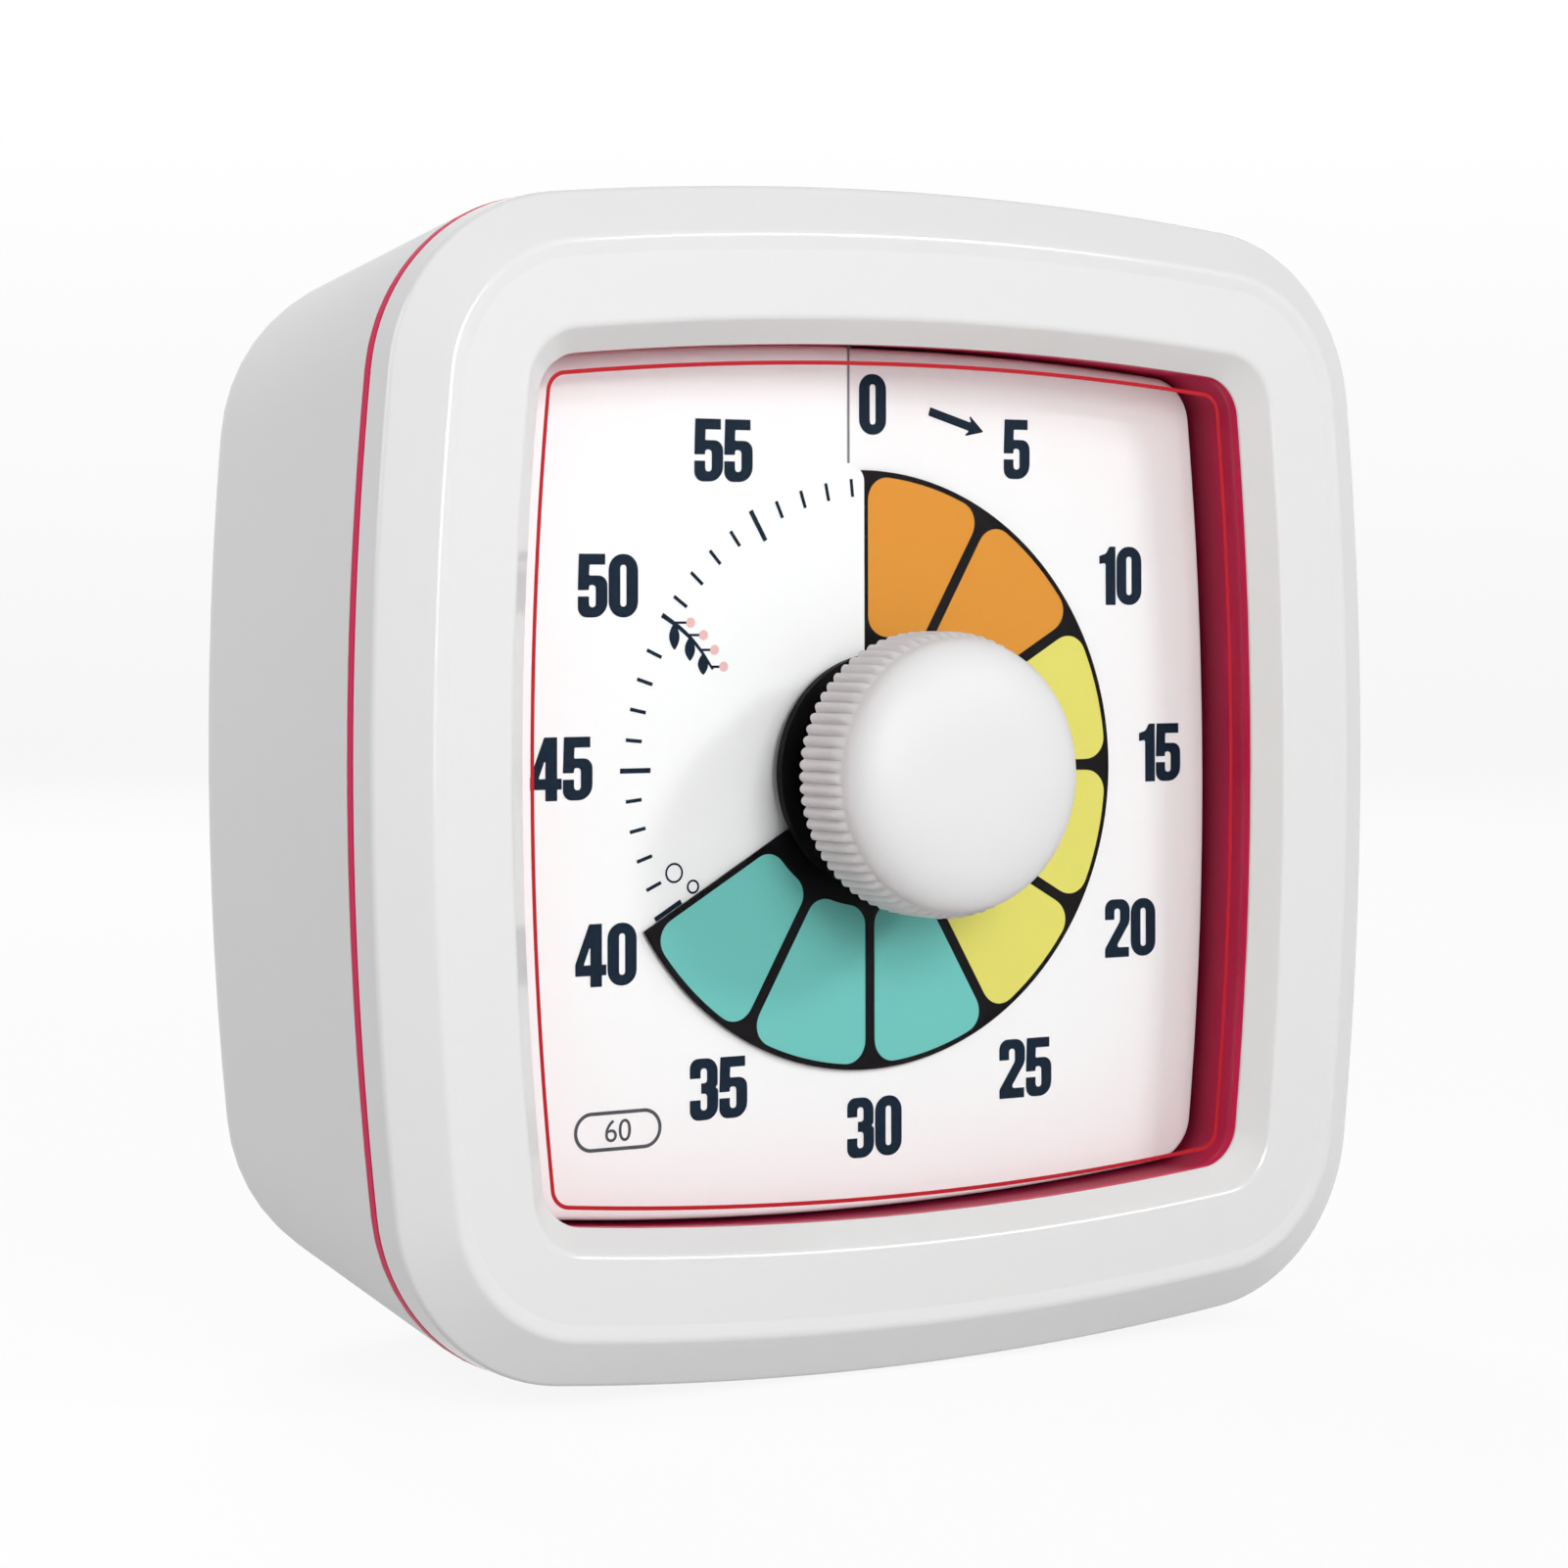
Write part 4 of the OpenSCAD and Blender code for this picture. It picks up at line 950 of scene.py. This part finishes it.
def knobPiece():
    # Distance from the axis is a profile less a rib wave, 1 - |cos|, which has
    # round crests and narrow grooves and fades out over the shoulder. The front
    # is a superellipse.
    phi = np.linspace(0, 2 * np.pi, knob["around"], endpoint=False)[None, :]
    radius, back, front = knob["radius"], knob["back"], knob["back"] - knob["flank"]
    core = radius - knob["ribDeep"]
    inner, bore = core - knob["shell"], knob["bore"]
    # the hollow behind, as rows of radius, depth and share of the ribs
    hollow = np.array([(bore, front + 0.6, 0), (bore, front, 0), (inner - 0.3, front, 0),
                       (inner, front + 0.3, 0), (inner + 0.1, back, 0),
                       (radius - 0.45, back, 0.3), (radius - 0.12, back - 0.1, 0.85),
                       (radius, back - 0.35, 1)])
    flankD = np.linspace(back - 0.6, front + 0.35, knob["flankSteps"])
    fade = np.clip((flankD - (front + 0.1)) / knob["fadeOver"], 0, 1)
    k = np.cos(np.linspace(0, np.pi / 2, knob["domeSteps"]))
    domeD = front - knob["dome"] * np.sqrt(1 - k ** knob["power"])
    profileR = np.concatenate([hollow[:, 0], core + (radius - core) * fade, core * k])
    profileD = np.concatenate([hollow[:, 1], flankD, domeD])
    ribbed = np.concatenate([hollow[:, 2], fade, 0 * k])
    wave = (1 - np.abs(np.cos(phi * knob["ribs"] / 2))) ** 1.1
    r = profileR[:, None] - knob["ribDeep"] * ribbed[:, None] * wave
    points = np.stack([r * np.sin(phi), np.broadcast_to(profileD[:, None], r.shape),
                       r * np.cos(phi) + dialLift], axis=-1)
    return makePiece("knobCap", [grid(place(points), around=True)], [knobWhite], "dial_knob",
                     ["knob"], outward=False, sharp=70)


knobPiece()
print("knob made")


def rearShellPiece():
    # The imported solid, merged; flat faces stay flat and the rest is smoothed.
    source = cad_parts["rear_shell"]
    mesh = source.data.copy()
    mesh.name = "rearShell"
    bm = bmesh.new()
    bm.from_mesh(mesh)
    bmesh.ops.remove_doubles(bm, verts=bm.verts, dist=1e-6)
    bm.normal_update()
    for face in bm.faces:
        face.smooth = abs(face.normal.y) < 0.9995
    for edge in bm.edges:
        pair = [f.smooth for f in edge.link_faces]
        edge.smooth = (edge.calc_face_angle(0) < math.radians(28)
                       and len(pair) == 2 and pair[0] == pair[1])
    bm.to_mesh(mesh)
    bm.free()
    mesh.materials.clear()
    mesh.materials.append(shellWhite)
    piece = addObject("rearShell", mesh)
    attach(piece, "housing")
    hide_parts("rear_shell")
    return piece


rearShellPiece()

finishes = {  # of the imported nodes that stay
    "disc_hub": satinBlack, "knob_shaft": steel, "clutch_spring": brass,
    "clutch_collar": steel, "movement_front": caseGrey, "movement_back": caseGrey,
    "output_wheel": acetal, "middle_wheel": acetal, "rotor": steel, "coil": copper,
    "circuit_board": boardGreen, "switch_body": steel, "sound_switch": satinBlack,
    "sounder": satinBlack, "battery_cell": cellWrap, "contact_spring": steel,
    "contact_plate": steel, "battery_door": shellWhite, "housing_screws": steel,
    "dial_screws": steel, "movement_screws": steel, "board_screws": steel,
    "rubber_feet": rubber,
}
for key, material in finishes.items():
    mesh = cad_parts[key].data
    mesh.materials.clear()
    mesh.materials.append(material)
print("packed nodes finished")


stage = {"half": 2.4, "rise": 1.6, "bend": 0.9, "behind": 1.2, "ahead": 3.0, "turn": -31.0,
         "floor": (186, 186, 186), "floorSeen": (250, 250, 250), "nearGlow": 0.88,
         "glowFrom": -0.05, "glowTo": 0.35, "rough": 0.9, "specular": 0.1}


def stagePiece():
    # A floor that bends up into a backdrop: a straight run, a quarter circle and
    # a wall, carried along X.
    t = np.linspace(0, np.pi / 2, 25)
    bend, behind = stage["bend"], stage["behind"]
    y = np.concatenate([[-stage["ahead"]], behind + bend * np.sin(t), [behind + bend]])
    z = np.concatenate([[0.0], bend * (1 - np.cos(t)), [bend + stage["rise"]]])
    x = np.array([-stage["half"], stage["half"]])
    points = np.stack(np.broadcast_arrays(x[None, :], y[:, None], z[:, None]), axis=-1)
    turn = math.radians(stage["turn"])
    c, s = math.cos(turn), math.sin(turn)
    points = np.stack([points[..., 0] * c - points[..., 1] * s,
                       points[..., 0] * s + points[..., 1] * c, points[..., 2]], axis=-1)
    verts, faces = grid(points)
    mesh = bpy.data.meshes.new("sweep")
    mesh.from_pydata(verts.tolist(), [], [tuple(map(int, f)) for f in faces])
    mesh.polygons.foreach_set("use_smooth", [True] * len(mesh.polygons))
    mat = bpy.data.materials.new("paleFloor")
    mat.use_nodes = True
    tree = mat.node_tree
    shader = tree.nodes["Principled BSDF"]
    shader.inputs["Roughness"].default_value = stage["rough"]
    shader.inputs["Specular IOR Level"].default_value = stage["specular"]
    path = tree.nodes.new("ShaderNodeLightPath")
    glow = tree.nodes.new("ShaderNodeEmission")
    glow.inputs["Color"].default_value = (1, 1, 1, 1)
    blend = tree.nodes.new("ShaderNodeMixShader")
    seen = seenBright(tree, path)
    tone = node(tree, "ShaderNodeMix", data_type="RGBA")  # sockets 6 and 7 are A and B
    tree.links.new(path.outputs["Is Camera Ray"], tone.inputs["Factor"])
    tone.inputs[6].default_value = linear(stage["floor"])
    tone.inputs[7].default_value = linear(stage["floorSeen"])
    tree.links.new(tone.outputs[2], shader.inputs["Base Color"])
    coords = tree.nodes.new("ShaderNodeTexCoord")
    apart = node(tree, "ShaderNodeSeparateXYZ", Vector=coords.outputs["Object"])
    share = node(tree, "ShaderNodeMapRange", Value=apart.outputs["Z"], To_Max=1.0,
                 From_Min=stage["glowFrom"], From_Max=stage["glowTo"],
                 To_Min=stage["nearGlow"])
    seen = maths(tree, "MULTIPLY", seen, share.outputs["Result"])
    tree.links.new(seen, blend.inputs["Fac"])
    tree.links.new(shader.outputs[0], blend.inputs[1])
    tree.links.new(glow.outputs[0], blend.inputs[2])
    tree.links.new(blend.outputs[0], tree.nodes["Material Output"].inputs["Surface"])
    mesh.materials.append(mat)
    floor = addObject("sweep", mesh)


stagePiece()

lights = {  # each lamp: name, place in metres, width, height, watts
    "level": 0.41, "overhead": 0.23,
    "lamps": [("glintLamp", (0.55, -0.81, 0.5), 0.16, 0.16, 2.45),
              ("frontLamp", (-0.07, -0.37, 0.16), 0.14, 0.14, 0.66),
              ("stripLamp", (-0.14, -0.52, 0.12), 0.06, 0.22, 0.3),
              ("sideLamp", (-0.3, 0.1, 0.19), 0.2, 0.2, 0.33),
              ("backLamp", (0.2, 0.8, 0.7), 0.4, 0.4, 4.2)],
}


def lightScene():
    world = bpy.data.worlds.new("studio")
    world.use_nodes = True
    tree = world.node_tree
    back = tree.nodes["Background"]
    back.inputs["Color"].default_value = (1, 1, 1, 1)
    path = tree.nodes.new("ShaderNodeLightPath")
    seen = seenBright(tree, path)
    way = node(tree, "ShaderNodeSeparateXYZ",
               Vector=tree.nodes.new("ShaderNodeTexCoord").outputs["Generated"])
    dome = node(tree, "ShaderNodeMapRange", Value=maths(tree, "ABSOLUTE", way.outputs["Z"]),
                To_Min=lights["level"], To_Max=lights["overhead"])
    level = maths(tree, "MAXIMUM", dome.outputs["Result"], seen)
    tree.links.new(level, back.inputs["Strength"])
    bpy.context.scene.world = world
    for name, at, wide, tall, power in lights["lamps"]:
        lamp = bpy.data.lights.new(name, "AREA")
        lamp.shape = "RECTANGLE"
        lamp.energy = power
        lamp.size, lamp.size_y = wide, tall
        holder = addObject(name, lamp)
        holder.location = at
        holder.visible_glossy = name != "backLamp"  # no glare on the upper corners
        way = Vector((0, 0, 0.05)) - Vector(at)
        holder.rotation_euler = way.to_track_quat("-Z", "Y").to_euler()


lightScene()

camera = {"at": (-0.1749, -0.28235, 0.0631), "lens": 87.8, "yaw": 31.45, "pitch": -2.5,
          "roll": -0.165, "sensor": 36, "near": 0.01}


def cameraPiece():
    data = bpy.data.cameras.new("photoView")
    data.lens = camera["lens"]
    data.sensor_width = camera["sensor"]
    data.clip_start = camera["near"]
    holder = addObject("photoView", data)
    turn = (Matrix.Rotation(math.radians(-camera["yaw"]), 4, "Z")
            @ Matrix.Rotation(math.radians(90 + camera["pitch"]), 4, "X")
            @ Matrix.Rotation(math.radians(camera["roll"]), 4, "Z"))
    holder.matrix_world = Matrix.Translation(camera["at"]) @ turn
    bpy.context.scene.camera = holder


cameraPiece()
bpy.context.scene.view_settings.view_transform = "Standard"
print("stage, light and camera set")
